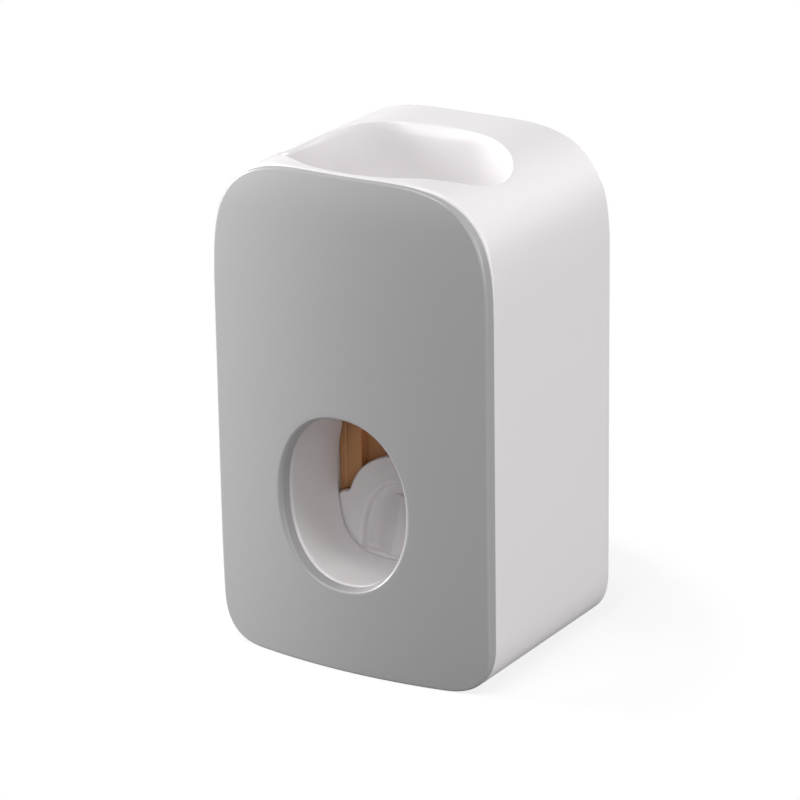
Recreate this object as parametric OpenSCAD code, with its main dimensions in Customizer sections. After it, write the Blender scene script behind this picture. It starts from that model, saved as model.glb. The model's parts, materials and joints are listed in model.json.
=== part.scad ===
// Wall-mounted toothpaste dispenser with a brush opening, a squeezing mechanism and a wall plate.
// Millimetres. The front faces -Y, the wall is at +Y and the base stands at z = 0.
// Depths are first counted from the front edge of the side walls, and seat() centres the whole.

/* [Body] */
// Width of the body
body_w = 67; // [60:0.5:80]
// Height of the body
body_h = 110; // [105:0.5:130]
// Depth of the side walls, from their front edge to the back rim
body_d = 48.6; // [47:0.2:60]
// Wall of the housing
wall = 2; // [1.4:0.1:2.6]
// Rise of the front's curve at the middle
front_bulge = 4.4; // [2:0.1:6]
// Radius of the soft corners at the top
top_corner = 29; // [20:0.5:30]
// Fullness of the top corners
top_fullness = 3.3; // [2:0.1:4]
// Radius of the corners at the base
base_corner = 11.5; // [6:0.5:16]
// Fullness of the corners at the base
base_fullness = 2.7; // [2:0.1:4]

/* [Front panel] */
// Thickness of the panel at its edge
panel_t = 1.4; // [1:0.1:2.4]
// Extra rise of the panel half way up
panel_crown = 1.2; // [0.6:0.1:2]
// Fine seam between the panel and the housing
panel_seam = 0.15; // [0.05:0.05:0.3]
// Width of a snap tab
tab_w = 10; // [6:0.5:14]
// Length of a snap tab
tab_l = 6; // [4:0.5:9]
// Thickness of a snap tab
tab_t = 1.3; // [1:0.1:1.6]
// Clearance between a snap tab and the housing
tab_clear = 0.2; // [0.1:0.05:0.4]

/* [Brush opening] */
// Width of the opening in the panel
opening_w = 30.5; // [26:0.5:32]
// Height of the opening in the panel
opening_h = 38.4; // [34:0.2:41]
// Height of the opening's middle above the base
opening_z = 38.2; // [37:0.2:40]
// Fullness of the opening's outline
opening_fullness = 2.2; // [2:0.1:3]
// Width of the rounded lip round the opening
lip_w = 2.2; // [1:0.1:3]
// Width added all round for the trough behind the opening
guide_margin = 0.4; // [0.2:0.1:1]
// Height by which the trough reaches further up than the opening
guide_rise = 5; // [4:0.2:6]
// Wall of the trough
guide_wall = 1.3; // [1:0.1:1.6]
// Width of the trough's flange behind the panel
guide_flange = 3; // [2:0.2:4]
// Thickness of the trough's flange
guide_flange_t = 1.6; // [1:0.1:2.4]
// Clearance between the trough's flange and the panel
guide_clear = 0.1; // [0.05:0.05:0.3]

/* [Tube bowl] */
// Width of the bowl at its rim
bowl_w = 50; // [46:0.5:52]
// Depth of the bowl's rim from front to back
bowl_d = 34.4; // [32:0.2:35]
// Distance of the bowl's middle behind the housing's front edge at the sides
bowl_y = 16.4; // [16:0.2:18]
// Depth of the bowl below the top
bowl_h = 21; // [19:0.5:23]
// Width of the soft curve between the bowl's side and floor
bowl_curve = 6.4; // [4:0.2:7]
// Radius of the hole in the bowl's floor
floor_hole_r = 9; // [8.6:0.1:9.6]

/* [Tube seal and feed] */
// Radius of the hole that grips the tube's neck
neck_r = 6.5; // [5.5:0.1:7]
// Thickness of the seal's flange
seal_t = 2.4; // [1.6:0.1:3]
// Radius of the seal's flange
seal_r = 13; // [12:0.1:14]
// Height of the seal's collar above its flange
seal_collar = 1.3; // [1:0.1:1.4]
// Clearance between the seal or its retainer and the bowl's floor hole
seal_clear = 0.2; // [0.1:0.05:0.4]
// Inner radius of the seal's retainer
retainer_r = 7.3; // [7:0.1:7.6]
// Width of the retainer's rim on the floor
retainer_rim = 1.6; // [1.2:0.1:2]
// Height of the retainer above the floor
retainer_h = 1.2; // [1:0.1:1.6]
// Outer radius of the feed cup
cup_r = 10.6; // [10:0.1:11]
// Wall of the feed cup
cup_wall = 1.6; // [1.2:0.1:2]
// Outer radius of the feed cup's spigot
spigot_r = 6.3; // [5.8:0.1:6.8]
// Thickness of the feed cup's screw ears
ear_t = 2; // [1.6:0.1:2.4]
// Length of the feed cup's spigot
spigot_l = 7; // [6:0.2:7.4]
// Thickness of the perforated valve seat
valve_seat_t = 1.6; // [1.2:0.1:2]
// Radius of the inlet valve's disc
valve_r = 4.4; // [4:0.1:4.6]
// Thickness of the inlet valve's disc
valve_t = 0.7; // [0.5:0.1:1]

/* [Bladder and nozzle] */
// Width of the bladder
bladder_w = 35.2; // [32:0.2:36]
// Depth of the bladder
bladder_d = 11.7; // [11:0.1:13]
// Height of the bladder's body
bladder_h = 29.5; // [27:0.5:31]
// Width of the hollow in front of the bladder's membrane
membrane_w = 24.2; // [23.8:0.2:25]
// Height of the hollow in front of the membrane
membrane_h = 20; // [18:0.5:21]
// Distance that the membrane lies behind the bladder's front
membrane_y = 2.7; // [2.4:0.1:3]
// Silicone wall of the bladder
bladder_wall = 1.6; // [1.2:0.1:2]
// Radius of the outlet port in the bladder
port_r = 3; // [2.6:0.1:3.2]
// Outer radius of the nozzle's pipe
nozzle_r = 3.6; // [3.4:0.1:4]
// Distance of the nozzle's tip behind the housing's front edge at the sides
nozzle_y = 9.5; // [8:0.1:11]
// Length of the nozzle's tip below the pipe's axis
nozzle_drop = 4; // [3.8:0.1:4.4]
// Height of the nozzle's pipe above the base
nozzle_z = 55; // [54.5:0.1:55.4]

/* [Pusher] */
// Height of the pusher's pin above the base
pivot_z = 12; // [11:0.1:13]
// Radius of the pin
pin_r = 1.5; // [1.2:0.1:1.8]
// Radial running clearance of the bushes on the pin
pin_clear = 0.05; // [0.03:0.01:0.08]
// Wall of a bush
bush_wall = 0.85; // [0.7:0.05:1]
// Length of a bush
bush_l = 8; // [6:0.5:10]
// Radius of the pusher's barrel
barrel_r = 3.5; // [3.3:0.1:4]
// Space between the pusher's plate and the core frame's cheeks
pusher_side = 2.2; // [1.6:0.1:3]
// Thickness of the pusher's plate
pusher_t = 2; // [1.6:0.1:2.2]
// Height of the pusher's shoulders above the base
shoulder_z = 31.3; // [30:0.1:32]
// Radius of the pusher's dome, round a point level with the shoulders
dome_r = 10.6; // [9:0.1:11]
// Radius of the fillets between the dome and the shoulders
dome_fillet = 5; // [3:0.2:6]
// Width of the arched pocket
pocket_w = 19.2; // [17:0.2:20]
// Height of the arched pocket
pocket_h = 16.3; // [14:0.1:17]
// Height of the pocket's floor above the base
pocket_z = 20.5; // [20:0.1:22]
// Depth of the arched pocket
pocket_d = 2.6; // [2:0.1:2.8]
// Wall of the pocket
pocket_wall = 1.3; // [1:0.1:1.5]
// Gap between the trough's end and the pusher's plate
pusher_gap = 0.3; // [0.2:0.05:0.6]
// Length of the trough behind the housing's front edge at the sides
guide_end = 17.3; // [16:0.1:17.6]
// Thickness of the press pad
pad_t = 1.2; // [0.8:0.1:1.4]
// Width of the press pad
pad_w = 16; // [12:0.5:18]
// Height of the press pad
pad_h = 6.4; // [5:0.2:7]
// Radius of the press pad's corners
pad_corner = 1.5; // [1:0.1:2.4]
// Thickness of a pin clip
clip_t = 0.6; // [0.4:0.1:0.8]
// Width of a pin clip's ring round the pin
clip_rim = 1.6; // [1.2:0.1:2]
// Depth of the grooves in the pin
groove_d = 0.3; // [0.2:0.05:0.4]
// Mean radius of the return spring
spring_r = 3; // [2.7:0.1:3.2]
// Radius of the return spring's wire
spring_wire = 0.35; // [0.25:0.05:0.45]
// Turns of the return spring
spring_turns = 6; // [4:1:7]

/* [Core frame] */
// Space between the bladder and the core frame's cheeks
core_side = 0.4; // [0.3:0.1:2]
// Thickness of the core frame's walls
core_t = 2; // [1.6:0.1:2.4]
// Height of the core frame's foot above the base
core_z = 5; // [4:0.2:6]
// Distance of the core screws in from the body's sides
core_screw_in = 7.5; // [7:0.1:8.4]
// Height of the lower core screws above the base
core_screw_low = 18; // [17:0.5:20]
// Height of the upper core screws above the base
core_screw_high = 58; // [54:0.5:60]
// Radius of the screws' shanks
screw_r = 1.25; // [1:0.05:1.5]
// Radius of the screws' heads
head_r = 2.7; // [2.4:0.1:3]
// Height of the screws' heads
head_h = 1.5; // [1.2:0.1:1.8]
// Length of a screw's thread in its boss
thread_l = 7; // [5:0.5:8]
// Radius of the screw bosses
boss_r = 3.2; // [2.8:0.1:3.4]

/* [Back and wall plate] */
// Thickness of the back cover
cover_t = 2; // [1.6:0.1:2.4]
// Distance of the back cover's outer face in from the back rim
cover_inset = 2; // [1.9:0.1:2.2]
// Clearance round the back cover
cover_clear = 0.2; // [0.1:0.05:0.4]
// Distance of the cover screws in from the body's sides
cover_screw_in = 8; // [7.5:0.1:8.5]
// Height of the lower cover screws above the base
cover_screw_low = 8.6; // [8:0.2:10]
// Distance of the upper cover screws below the top
cover_screw_drop = 19; // [16:0.5:22]
// Width of the wall plate
plate_w = 44; // [42:0.5:45]
// Height of the wall plate
plate_h = 54; // [54:0.5:60]
// Height of the wall plate's lower edge above the base
plate_z = 26; // [22:0.5:28]
// Thickness of the wall plate
plate_t = 1.6; // [1.2:0.1:1.6]
// Radius of the wall plate's corners
plate_corner = 5; // [3:0.5:8]
// Clearance between the wall plate and the back cover
plate_clear = 0.3; // [0.3:0.05:0.4]
// Thickness of the adhesive pad
foam_t = 0.8; // [0.6:0.1:1.2]
// Width of a hook
hook_w = 8; // [6:0.5:10]
// Height of a hook's stem
hook_h = 4; // [3:0.2:5]
// Height of a hook's lip above its stem
hook_lip = 6.5; // [5:0.5:7]
// Distance of the hooks from the middle
hook_x = 12; // [10:0.5:14]
// Height of the lower hooks above the plate's lower edge
hook_low = 12; // [12:0.5:14]
// Height between the lower and the upper hooks
hook_pitch = 28; // [27:0.5:30]

/* [Hidden] */

// Small overlap where two shapes of one piece join
join = 0.05;
// Length of a cut that runs well past what it cuts
past = 20;
corner_steps = 14;
round_fn = 96;
front_fn = 360;

white = [0.93, 0.93, 0.92];
grey = [0.62, 0.61, 0.62];
amber = [0.72, 0.42, 0.18];
steel = [0.70, 0.71, 0.73];

// Front surface: a cylinder with an upright axis, and for the panel a barrel on the same axis
front_r = (pow(body_w / 2, 2) + pow(front_bulge, 2)) / (2 * front_bulge);
plate_back = body_d - cover_inset + plate_clear + plate_t;
back_y = plate_back + foam_t;
front_y = -panel_t - panel_seam - front_bulge - panel_crown;
mid_y = (front_y + back_y) / 2;

// Trough and pusher
guide_w = opening_w + 2 * guide_margin;
guide_h = opening_h + 2 * guide_margin;
pusher_y = guide_end + pusher_gap;
pusher_back = pusher_y + pusher_t;
pocket_back = pusher_y + pocket_d + pocket_wall;
pivot_y = pocket_back;
bush_r = pin_r + pin_clear + bush_wall;
bush_flange = 1;
bush_play = 0.4;
core_w = bladder_w + 2 * (core_t + core_side);
pusher_w = core_w - 2 * (core_t + pusher_side);
barrel_l = core_w - 2 * (core_t + bush_play + bush_flange);
ridge_base = 0.7;
ridge_top = 0.28;

// Bladder
bladder_front = pusher_back + 0.7;
bladder_y = bladder_front + bladder_d / 2;
bladder_z = shoulder_z - 0.8;
bladder_top = bladder_z + bladder_h;
cavity_w = membrane_w - 2.2;
neck_wall = 2.2;
collar_t = 2;

// Core frame, counted from the bladder that it backs
core_back = bladder_front + bladder_d + 0.3;
core_top = bladder_top + 4;
core_front = guide_end - 3.3;
cup_z = core_top + core_t + collar_t;
post_x = 15;
post_r = 2.6;

// Bowl, seal and feed cup
rim_r = bowl_d / 2;
bowl_half = (bowl_w - bowl_d) / 2;
floor_z = body_h - bowl_h;
floor_under = floor_z - wall;
seal_z = floor_under - seal_t;
cup_top = seal_z;
neck_bore_h = seal_t + seal_collar - 0.7;

// Return spring
spring_z = pivot_z + 13;
spring_start = pocket_back + spring_wire + 0.05;
spring_end = core_back - spring_wire - 0.05;
spring_seat_r = spring_r - spring_wire - 0.4;

// Screw places
core_screw_x = body_w / 2 - core_screw_in;
cover_screw_x = body_w / 2 - cover_screw_in;
cover_screw_high = body_h - cover_screw_drop;

// Wall plate travel
lift = hook_lip + 2.5;
cover_back = body_d - cover_inset;
cover_front = cover_back - cover_t;

function power_arc(c, r, n, from, to, steps) =
    [for (i = [0:steps])
        let (a = from + (to - from) * i / steps)
        [c[0] + r[0] * sign(cos(a)) * pow(abs(cos(a)), 2 / n),
         c[1] + r[1] * sign(sin(a)) * pow(abs(sin(a)), 2 / n)]];

function oval(w, h, n) = power_arc([0, 0], [w / 2, h / 2], n, 0, 360 - 360 / 64, 63);

// Section of the trough, grown all round: the opening's oval with a taller upper half
function trough(grow) = concat(
    power_arc([0, 0], [guide_w / 2 + grow, guide_h / 2 + guide_rise + grow], opening_fullness, 0, 180, 32),
    power_arc([0, 0], [guide_w / 2 + grow, guide_h / 2 + grow], opening_fullness, 180 + 360 / 64,
              360 - 360 / 64, 30));

function round_arc(c, r, from, to, steps) =
    [for (i = [0:steps]) let (a = from + (to - from) * i / steps) c + r * [cos(a), sin(a)]];

// A half round dome with a fillet on either side down to a level
function dome(r, f) =
    let (c = sqrt(r * r + 2 * r * f), t = atan2(f, c))
    concat([[c, -join]], round_arc([c, f], f, 270, 180 + t, 12), round_arc([0, 0], r, t, 180 - t, 32),
           round_arc([-c, f], f, -t, -90, 12), [[-c, -join]]);

function arch(w, h, n) = power_arc([0, 0], [w / 2, h], n, 0, 180, 32);

// How far the front's curve stands in front of its side edges at x
function bulge_at(x) = sqrt(pow(front_r, 2) - x * x) - front_r + front_bulge;

// Moves a piece so that the whole object is centred on the origin
module seat() {
    translate([0, -mid_y, 0]) children();
}

// Stands a flat outline upright and gives it depth from y0 to y1
module along_y(y0, y1) {
    translate([0, y1, 0]) rotate([90, 0, 0]) linear_extrude(y1 - y0) children();
}

module both_sides() {
    children();
    mirror([1, 0, 0]) children();
}

// Front view of the body, drawn in by inset on every side
module body_outline(inset = 0) {
    top_c = [body_w / 2 - top_corner, body_h - top_corner];
    base_c = [body_w / 2 - base_corner, base_corner];
    top_r = top_corner - inset;
    base_r = base_corner - inset;
    right = concat(
        power_arc(base_c, [base_r, base_r], base_fullness, -90, 0, corner_steps),
        power_arc(top_c, [top_r, top_r], top_fullness, 0, 90, corner_steps));
    left = [for (i = [len(right) - 1:-1:0]) [-right[i][0], right[i][1]]];
    polygon(concat(right, left));
}

// Everything behind the curved front, moved back by depth
module behind_front(depth) {
    translate([0, depth - front_bulge + front_r, -past])
        cylinder(r = front_r, h = body_h + 2 * past, $fn = front_fn);
}

// Everything behind the panel's outer face, which also curves from top to bottom
module behind_panel_face() {
    steps = 12;
    rise = [for (i = [0:steps]) let (t = 2 * i / steps - 1)
        [front_r + panel_crown * (1 - t * t), body_h * i / steps]];
    translate([0, front_r - front_bulge - panel_t - panel_seam, 0])
        rotate_extrude($fn = front_fn)
            polygon(concat([[0, 0]], rise, [[0, body_h]]));
}

module opening_outline(grow = 0) {
    translate([0, opening_z])
        polygon(oval(opening_w + 2 * grow, opening_h + 2 * grow, opening_fullness));
}

// Half profile of the bowl, grown outwards and down by grow
function bowl_profile(grow) = concat(
    [[0, body_h + past], [rim_r + grow, body_h + past]],
    power_arc([rim_r - bowl_curve, body_h], [bowl_curve + grow, bowl_h + grow], 2.6, 0, -90, 10),
    [[0, floor_z - grow]]);

module bowl(grow = 0) {
    translate([0, bowl_y, 0]) {
        both_sides() translate([bowl_half, 0, 0])
            rotate_extrude($fn = round_fn) polygon(bowl_profile(grow));
        translate([-bowl_half, 0, 0]) rotate([90, 0, 90]) linear_extrude(2 * bowl_half) {
            polygon(bowl_profile(grow));
            mirror([1, 0]) polygon(bowl_profile(grow));
        }
    }
}

// Screw boss with a rib to the side wall
module boss(x, z, y0, y1) {
    translate([x, y1, z]) rotate([90, 0, 0]) cylinder(r = boss_r, h = y1 - y0, $fn = round_fn);
    translate([x, y0, z - 1]) cube([body_w / 2 - wall / 2 - x, y1 - y0, 2]);
}

module boss_hole(x, z, y1) {
    translate([x, y1 + join, z]) rotate([90, 0, 0])
        cylinder(r = screw_r + 0.03, h = thread_l + 2, $fn = 48);
}

module housing() {
    boss_start = core_back - 12;
    color(white) seat() difference() {
        union() {
            difference() {
                along_y(-past, body_d) body_outline();
                along_y(-2 * past, body_d + past) body_outline(wall);
            }
            intersection() {
                along_y(-past, body_d) body_outline();
                bowl(wall);
            }
            intersection() {
                along_y(-past, body_d) body_outline(wall / 2);
                both_sides() {
                    boss(core_screw_x, core_screw_low, boss_start, core_back);
                    boss(core_screw_x, core_screw_high, boss_start, core_back);
                    boss(cover_screw_x, cover_screw_low, cover_front - 12, cover_front);
                    boss(cover_screw_x, cover_screw_high, cover_front - 12, cover_front);
                }
            }
        }
        difference() {
            translate([-body_w, -2 * past, -past])
                cube([2 * body_w, 2 * past + front_bulge, body_h + 2 * past]);
            behind_front(0);
        }
        bowl();
        translate([0, bowl_y, floor_under - past / 2])
            cylinder(r = floor_hole_r, h = past, $fn = round_fn);
        both_sides() {
            boss_hole(core_screw_x, core_screw_low, core_back);
            boss_hole(core_screw_x, core_screw_high, core_back);
            boss_hole(cover_screw_x, cover_screw_low, cover_front);
            boss_hole(cover_screw_x, cover_screw_high, cover_front);
        }
    }
}

module front_panel() {
    tab_x = body_w / 2 - wall - tab_clear - tab_t;
    tab_root = -panel_seam - bulge_at(tab_x) - 0.5;
    color(grey) seat() {
        difference() {
            intersection() {
                along_y(-past, past) body_outline();
                behind_panel_face();
            }
            behind_front(-panel_seam);
            along_y(-past, past) opening_outline();
            hull() {
                along_y(front_y - 1, front_y) opening_outline(lip_w);
                along_y(front_y + 1.5, front_y + 1.6) opening_outline();
            }
        }
        both_sides() for (z = [body_h * 0.27, body_h * 0.66])
            translate([tab_x, tab_root, z - tab_w / 2])
                cube([tab_t, tab_l - tab_root, tab_w]);
    }
}

module brush_guide() {
    lug_z = opening_z;
    color(white) seat() {
        difference() {
            union() {
                along_y(-past, guide_end) translate([0, opening_z])
                    polygon(trough(guide_wall));
                difference() {
                    along_y(-past, past) translate([0, opening_z])
                        polygon(trough(guide_wall + guide_flange));
                    behind_front(guide_clear + guide_flange_t);
                }
                both_sides() translate([guide_w / 2, core_front, lug_z - 4])
                    cube([core_w / 2 - core_t - 0.1 - guide_w / 2, guide_end - core_front, 8]);
            }
            difference() {
                translate([-body_w, -2 * past, -past])
                    cube([2 * body_w, 2 * past + front_bulge, body_h + 2 * past]);
                behind_front(guide_clear);
            }
            along_y(-2 * past, 2 * past) translate([0, opening_z]) polygon(trough(0));
        }
    }
}

// Pan-head screw whose head stands on the point at and whose shank runs towards -Y
module screw(at, shank) {
    translate(at) {
        rotate([-90, 0, 0]) difference() {
            cylinder(r = head_r, h = head_h, $fn = 64);
            for (a = [0, 90]) rotate([0, 0, a]) translate([-1.5, -0.3, head_h - 0.7])
                cube([3, 0.6, 1]);
        }
        rotate([90, 0, 0]) translate([0, 0, -join]) cylinder(r = screw_r, h = shank + join, $fn = 48);
    }
}

module back_cover() {
    color(white) seat() difference() {
        along_y(cover_front, cover_back) body_outline(wall + cover_clear);
        both_sides() {
            for (z = [cover_screw_low, cover_screw_high])
                translate([cover_screw_x, cover_back + join, z]) rotate([90, 0, 0])
                    cylinder(r = screw_r + 0.25, h = cover_t + 2 * join, $fn = 48);
            for (z = [plate_z + hook_low, plate_z + hook_low + hook_pitch])
                translate([hook_x - hook_w / 2 - 0.4, cover_front - join, z - hook_h / 2 - lift - 0.4])
                    cube([hook_w + 0.8, cover_t + 2 * join, hook_h + lift + 0.7]);
        }
    }
}

module cover_screws() {
    color(steel) seat() both_sides() for (z = [cover_screw_low, cover_screw_high])
        screw([cover_screw_x, cover_back, z], cover_t + thread_l);
}

module core_frame() {
    half = core_w / 2;
    depth = core_back + core_t - core_front;
    ear = core_screw_x + boss_r - half;
    color(white) seat() difference() {
        union() {
            translate([-half, core_back, core_z]) cube([core_w, core_t, core_top + core_t - core_z]);
            translate([-half, core_front, core_z]) cube([core_w, depth, core_t]);
            translate([-half, bladder_front - 1.5, core_top])
                cube([core_w, core_back + core_t - bladder_front + 1.5, core_t]);
            both_sides() {
                translate([half - core_t, core_front, core_z])
                    cube([core_t, depth, core_top + core_t - core_z]);
                for (z = [core_screw_low, core_screw_high])
                    translate([half - join, core_back, z - 5]) cube([ear + join, core_t, 10]);
                translate([post_x, bladder_y, core_top + core_t - join])
                    cylinder(r = post_r, h = collar_t + join, $fn = 48);
            }
            translate([0, core_back + join, spring_z]) rotate([90, 0, 0])
                cylinder(r = spring_seat_r, h = 3, $fn = 48);
        }
        translate([0, bladder_y, bladder_top - 0.5])
            cylinder(r = spigot_r + 0.1 + neck_wall + 0.3, h = past, $fn = round_fn);
        both_sides() {
            translate([half - core_t - join, pivot_y, pivot_z]) rotate([0, 90, 0])
                cylinder(r = pin_r, h = core_t + 2 * join, $fn = 48);
            for (z = [core_screw_low, core_screw_high])
                translate([core_screw_x, core_back + core_t + join, z]) rotate([90, 0, 0])
                    cylinder(r = screw_r + 0.25, h = core_t + 2 * join, $fn = 48);
            translate([post_x, bladder_y, core_top + core_t - join])
                cylinder(r = screw_r + 0.03, h = collar_t + 2 * join, $fn = 48);
        }
    }
}

module core_screws() {
    color(steel) seat() both_sides() for (z = [core_screw_low, core_screw_high])
        screw([core_screw_x, core_back + core_t, z], core_t + thread_l);
}

// Plan of the feed cup: two circles joined by a straight stretch, from the bowl back to the bladder
module cup_plan(r) {
    translate([0, bowl_y]) circle(r = r, $fn = round_fn);
    translate([0, bladder_y]) circle(r = r, $fn = round_fn);
    translate([-r, bowl_y]) square([2 * r, bladder_y - bowl_y]);
}

module feed_cup() {
    color(white) seat() difference() {
        union() {
            translate([0, 0, cup_z]) linear_extrude(cup_top - cup_z) cup_plan(cup_r);
            translate([0, bowl_y, cup_top - 2]) cylinder(r = seal_r + 0.4, h = 2, $fn = round_fn);
            translate([0, bladder_y, cup_z - spigot_l])
                cylinder(r = spigot_r, h = spigot_l + join, $fn = round_fn);
            both_sides() translate([post_x, bladder_y, cup_z])
                cylinder(r = post_r, h = ear_t, $fn = 48);
            translate([-post_x, bladder_y - post_r, cup_z]) cube([2 * post_x, 2 * post_r, ear_t]);
        }
        translate([0, 0, cup_z + cup_wall]) linear_extrude(cup_top) cup_plan(cup_r - cup_wall);
        translate([0, bladder_y, cup_z - past])
            cylinder(r = spigot_r - 1.3, h = past + cup_wall + join, $fn = round_fn);
        both_sides() translate([post_x, bladder_y, cup_z - join])
            cylinder(r = screw_r + 0.25, h = ear_t + 2 * join, $fn = 48);
    }
}

module cup_screws() {
    color(steel) seat() both_sides() translate([post_x, bladder_y, cup_z + ear_t])
        rotate([90, 0, 0]) screw([0, 0, 0], ear_t + collar_t - 0.2);
}

module tube_seal() {
    color(amber) seat() translate([0, bowl_y, seal_z]) rotate_extrude($fn = round_fn)
        polygon([[neck_r, 0], [seal_r, 0], [seal_r, seal_t], [floor_hole_r - seal_clear, seal_t],
                 [floor_hole_r - seal_clear, seal_t + seal_collar], [neck_r + 0.6, seal_t + seal_collar],
                 [neck_r, neck_bore_h]]);
}

module seal_retainer() {
    spigot = floor_hole_r - seal_clear;
    color(white) seat() translate([0, bowl_y, 0]) rotate_extrude($fn = round_fn)
        polygon([[retainer_r, seal_z + seal_t + seal_collar + 0.1],
                 [spigot, seal_z + seal_t + seal_collar + 0.1], [spigot, floor_z],
                 [floor_hole_r + retainer_rim, floor_z],
                 [floor_hole_r + retainer_rim, floor_z + retainer_h * 0.5],
                 [floor_hole_r + retainer_rim - 0.6, floor_z + retainer_h],
                 [retainer_r + 0.5, floor_z + retainer_h], [retainer_r, floor_z + retainer_h * 0.5]]);
}

module valve_seat() {
    color(white) seat() translate([0, bladder_y, cup_z - spigot_l]) difference() {
        cylinder(r = spigot_r - 1.3, h = valve_seat_t, $fn = round_fn);
        translate([0, 0, -join]) cylinder(r = 1, h = valve_seat_t + 2 * join, $fn = 48);
        for (a = [0:60:300]) rotate([0, 0, a]) translate([2.9, 0, -join])
            cylinder(r = 0.8, h = valve_seat_t + 2 * join, $fn = 32);
    }
}

module inlet_valve() {
    stem = valve_seat_t + 0.1;
    color(amber) seat() translate([0, bladder_y, cup_z - spigot_l - 0.1]) rotate_extrude($fn = 48)
        polygon([[0, -valve_t], [valve_r - 0.4, -valve_t], [valve_r, -0.2], [valve_r, 0], [0.95, 0],
                 [0.95, stem + 0.1], [1.4, stem + 0.3], [0.8, stem + 1.4], [0, stem + 1.4]]);
}

module rounded_plan(w, d, r) {
    square([w - 2 * r, d], center = true);
    square([w, d - 2 * r], center = true);
    for (x = [-1, 1], y = [-1, 1])
        translate([x * (w / 2 - r), y * (d / 2 - r)]) circle(r = r, $fn = 48);
}

module bladder() {
    neck_bore = spigot_r + 0.1;
    cavity_d = bladder_d - membrane_y - 2 * bladder_wall;
    cavity_y = bladder_front + membrane_y + bladder_wall + cavity_d / 2;
    color(amber) seat() difference() {
        union() {
            translate([0, bladder_y, bladder_z]) linear_extrude(bladder_h)
                rounded_plan(bladder_w, bladder_d, 2.5);
            translate([0, bladder_y, bladder_top - join])
                cylinder(r = neck_bore + neck_wall, h = cup_z - bladder_top + join, $fn = round_fn);
            translate([0, bladder_y, core_top + core_t])
                cylinder(r = neck_bore + neck_wall + 2, h = collar_t, $fn = round_fn);
            translate([0, bladder_front + join, nozzle_z]) rotate([90, 0, 0])
                cylinder(r = port_r + 1.6, h = 1.7, $fn = 64);
        }
        translate([-membrane_w / 2, bladder_front - past, bladder_z - 1])
            cube([membrane_w, past + membrane_y, membrane_h + 1]);
        translate([0, cavity_y, bladder_z + 3]) linear_extrude(bladder_h - 7)
            rounded_plan(cavity_w, cavity_d, 2);
        translate([0, bladder_y, bladder_top - 4 - join])
            cylinder(r = neck_bore, h = past, $fn = round_fn);
        translate([0, cavity_y, nozzle_z]) rotate([90, 0, 0])
            cylinder(r = port_r, h = past, $fn = 48);
    }
}

module nozzle() {
    flange_y = bladder_front - 1.7;
    plug_l = 4.5;
    bore = 1.9;
    color(white) seat() difference() {
        union() {
            translate([0, flange_y + plug_l, nozzle_z]) rotate([90, 0, 0])
                cylinder(r = port_r - 0.05, h = plug_l + join, $fn = 48);
            translate([0, flange_y - 0.05, nozzle_z]) rotate([90, 0, 0])
                cylinder(r = port_r + 1.6, h = 1.1, $fn = 64);
            translate([0, flange_y - 0.5, nozzle_z]) rotate([90, 0, 0])
                cylinder(r = nozzle_r, h = flange_y - 0.5 - nozzle_y, $fn = 64);
            translate([0, nozzle_y, nozzle_z]) sphere(r = nozzle_r, $fn = 64);
            translate([0, nozzle_y, nozzle_z - nozzle_drop])
                cylinder(r = nozzle_r, h = nozzle_drop, $fn = 64);
        }
        translate([0, flange_y + plug_l + join, nozzle_z]) rotate([90, 0, 0])
            cylinder(r = bore, h = flange_y + plug_l + join - nozzle_y, $fn = 48);
        translate([0, nozzle_y, nozzle_z - nozzle_drop - join])
            cylinder(r = bore + 0.4, h = nozzle_drop + join, $fn = 48);
    }
}

module outlet_valve() {
    tip = nozzle_z - nozzle_drop;
    color(amber) seat() translate([0, nozzle_y, tip]) difference() {
        union() {
            translate([0, 0, 0.5]) cylinder(r = 2.25, h = 2, $fn = 48);
            translate([-1.4, -0.5, -0.3]) cube([2.8, 1, 0.9]);
        }
        translate([0, 0, 1]) cylinder(r = 1.5, h = 2, $fn = 48);
        translate([-1.1, -0.06, -1]) cube([2.2, 0.12, 3]);
    }
}

// Raised wedge in the pocket: wide and deep at the foot, narrow at the top
module ridge() {
    low = ridge_base * pocket_w / 2;
    high = ridge_top * pocket_w / 2;
    z0 = pocket_z;
    z1 = pocket_z + pocket_h * 0.78;
    back = pusher_y + pocket_d + 0.2;
    crest = pusher_y + 0.3;
    polyhedron(
        points = [[-low, back, z0], [low, back, z0], [0, crest, z0],
                  [-high, back, z1], [high, back, z1], [0, back - 0.8, z1]],
        faces = [[0, 2, 1], [3, 4, 5], [0, 1, 4, 3], [0, 3, 5], [0, 5, 2], [1, 2, 5], [1, 5, 4]]);
}

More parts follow.
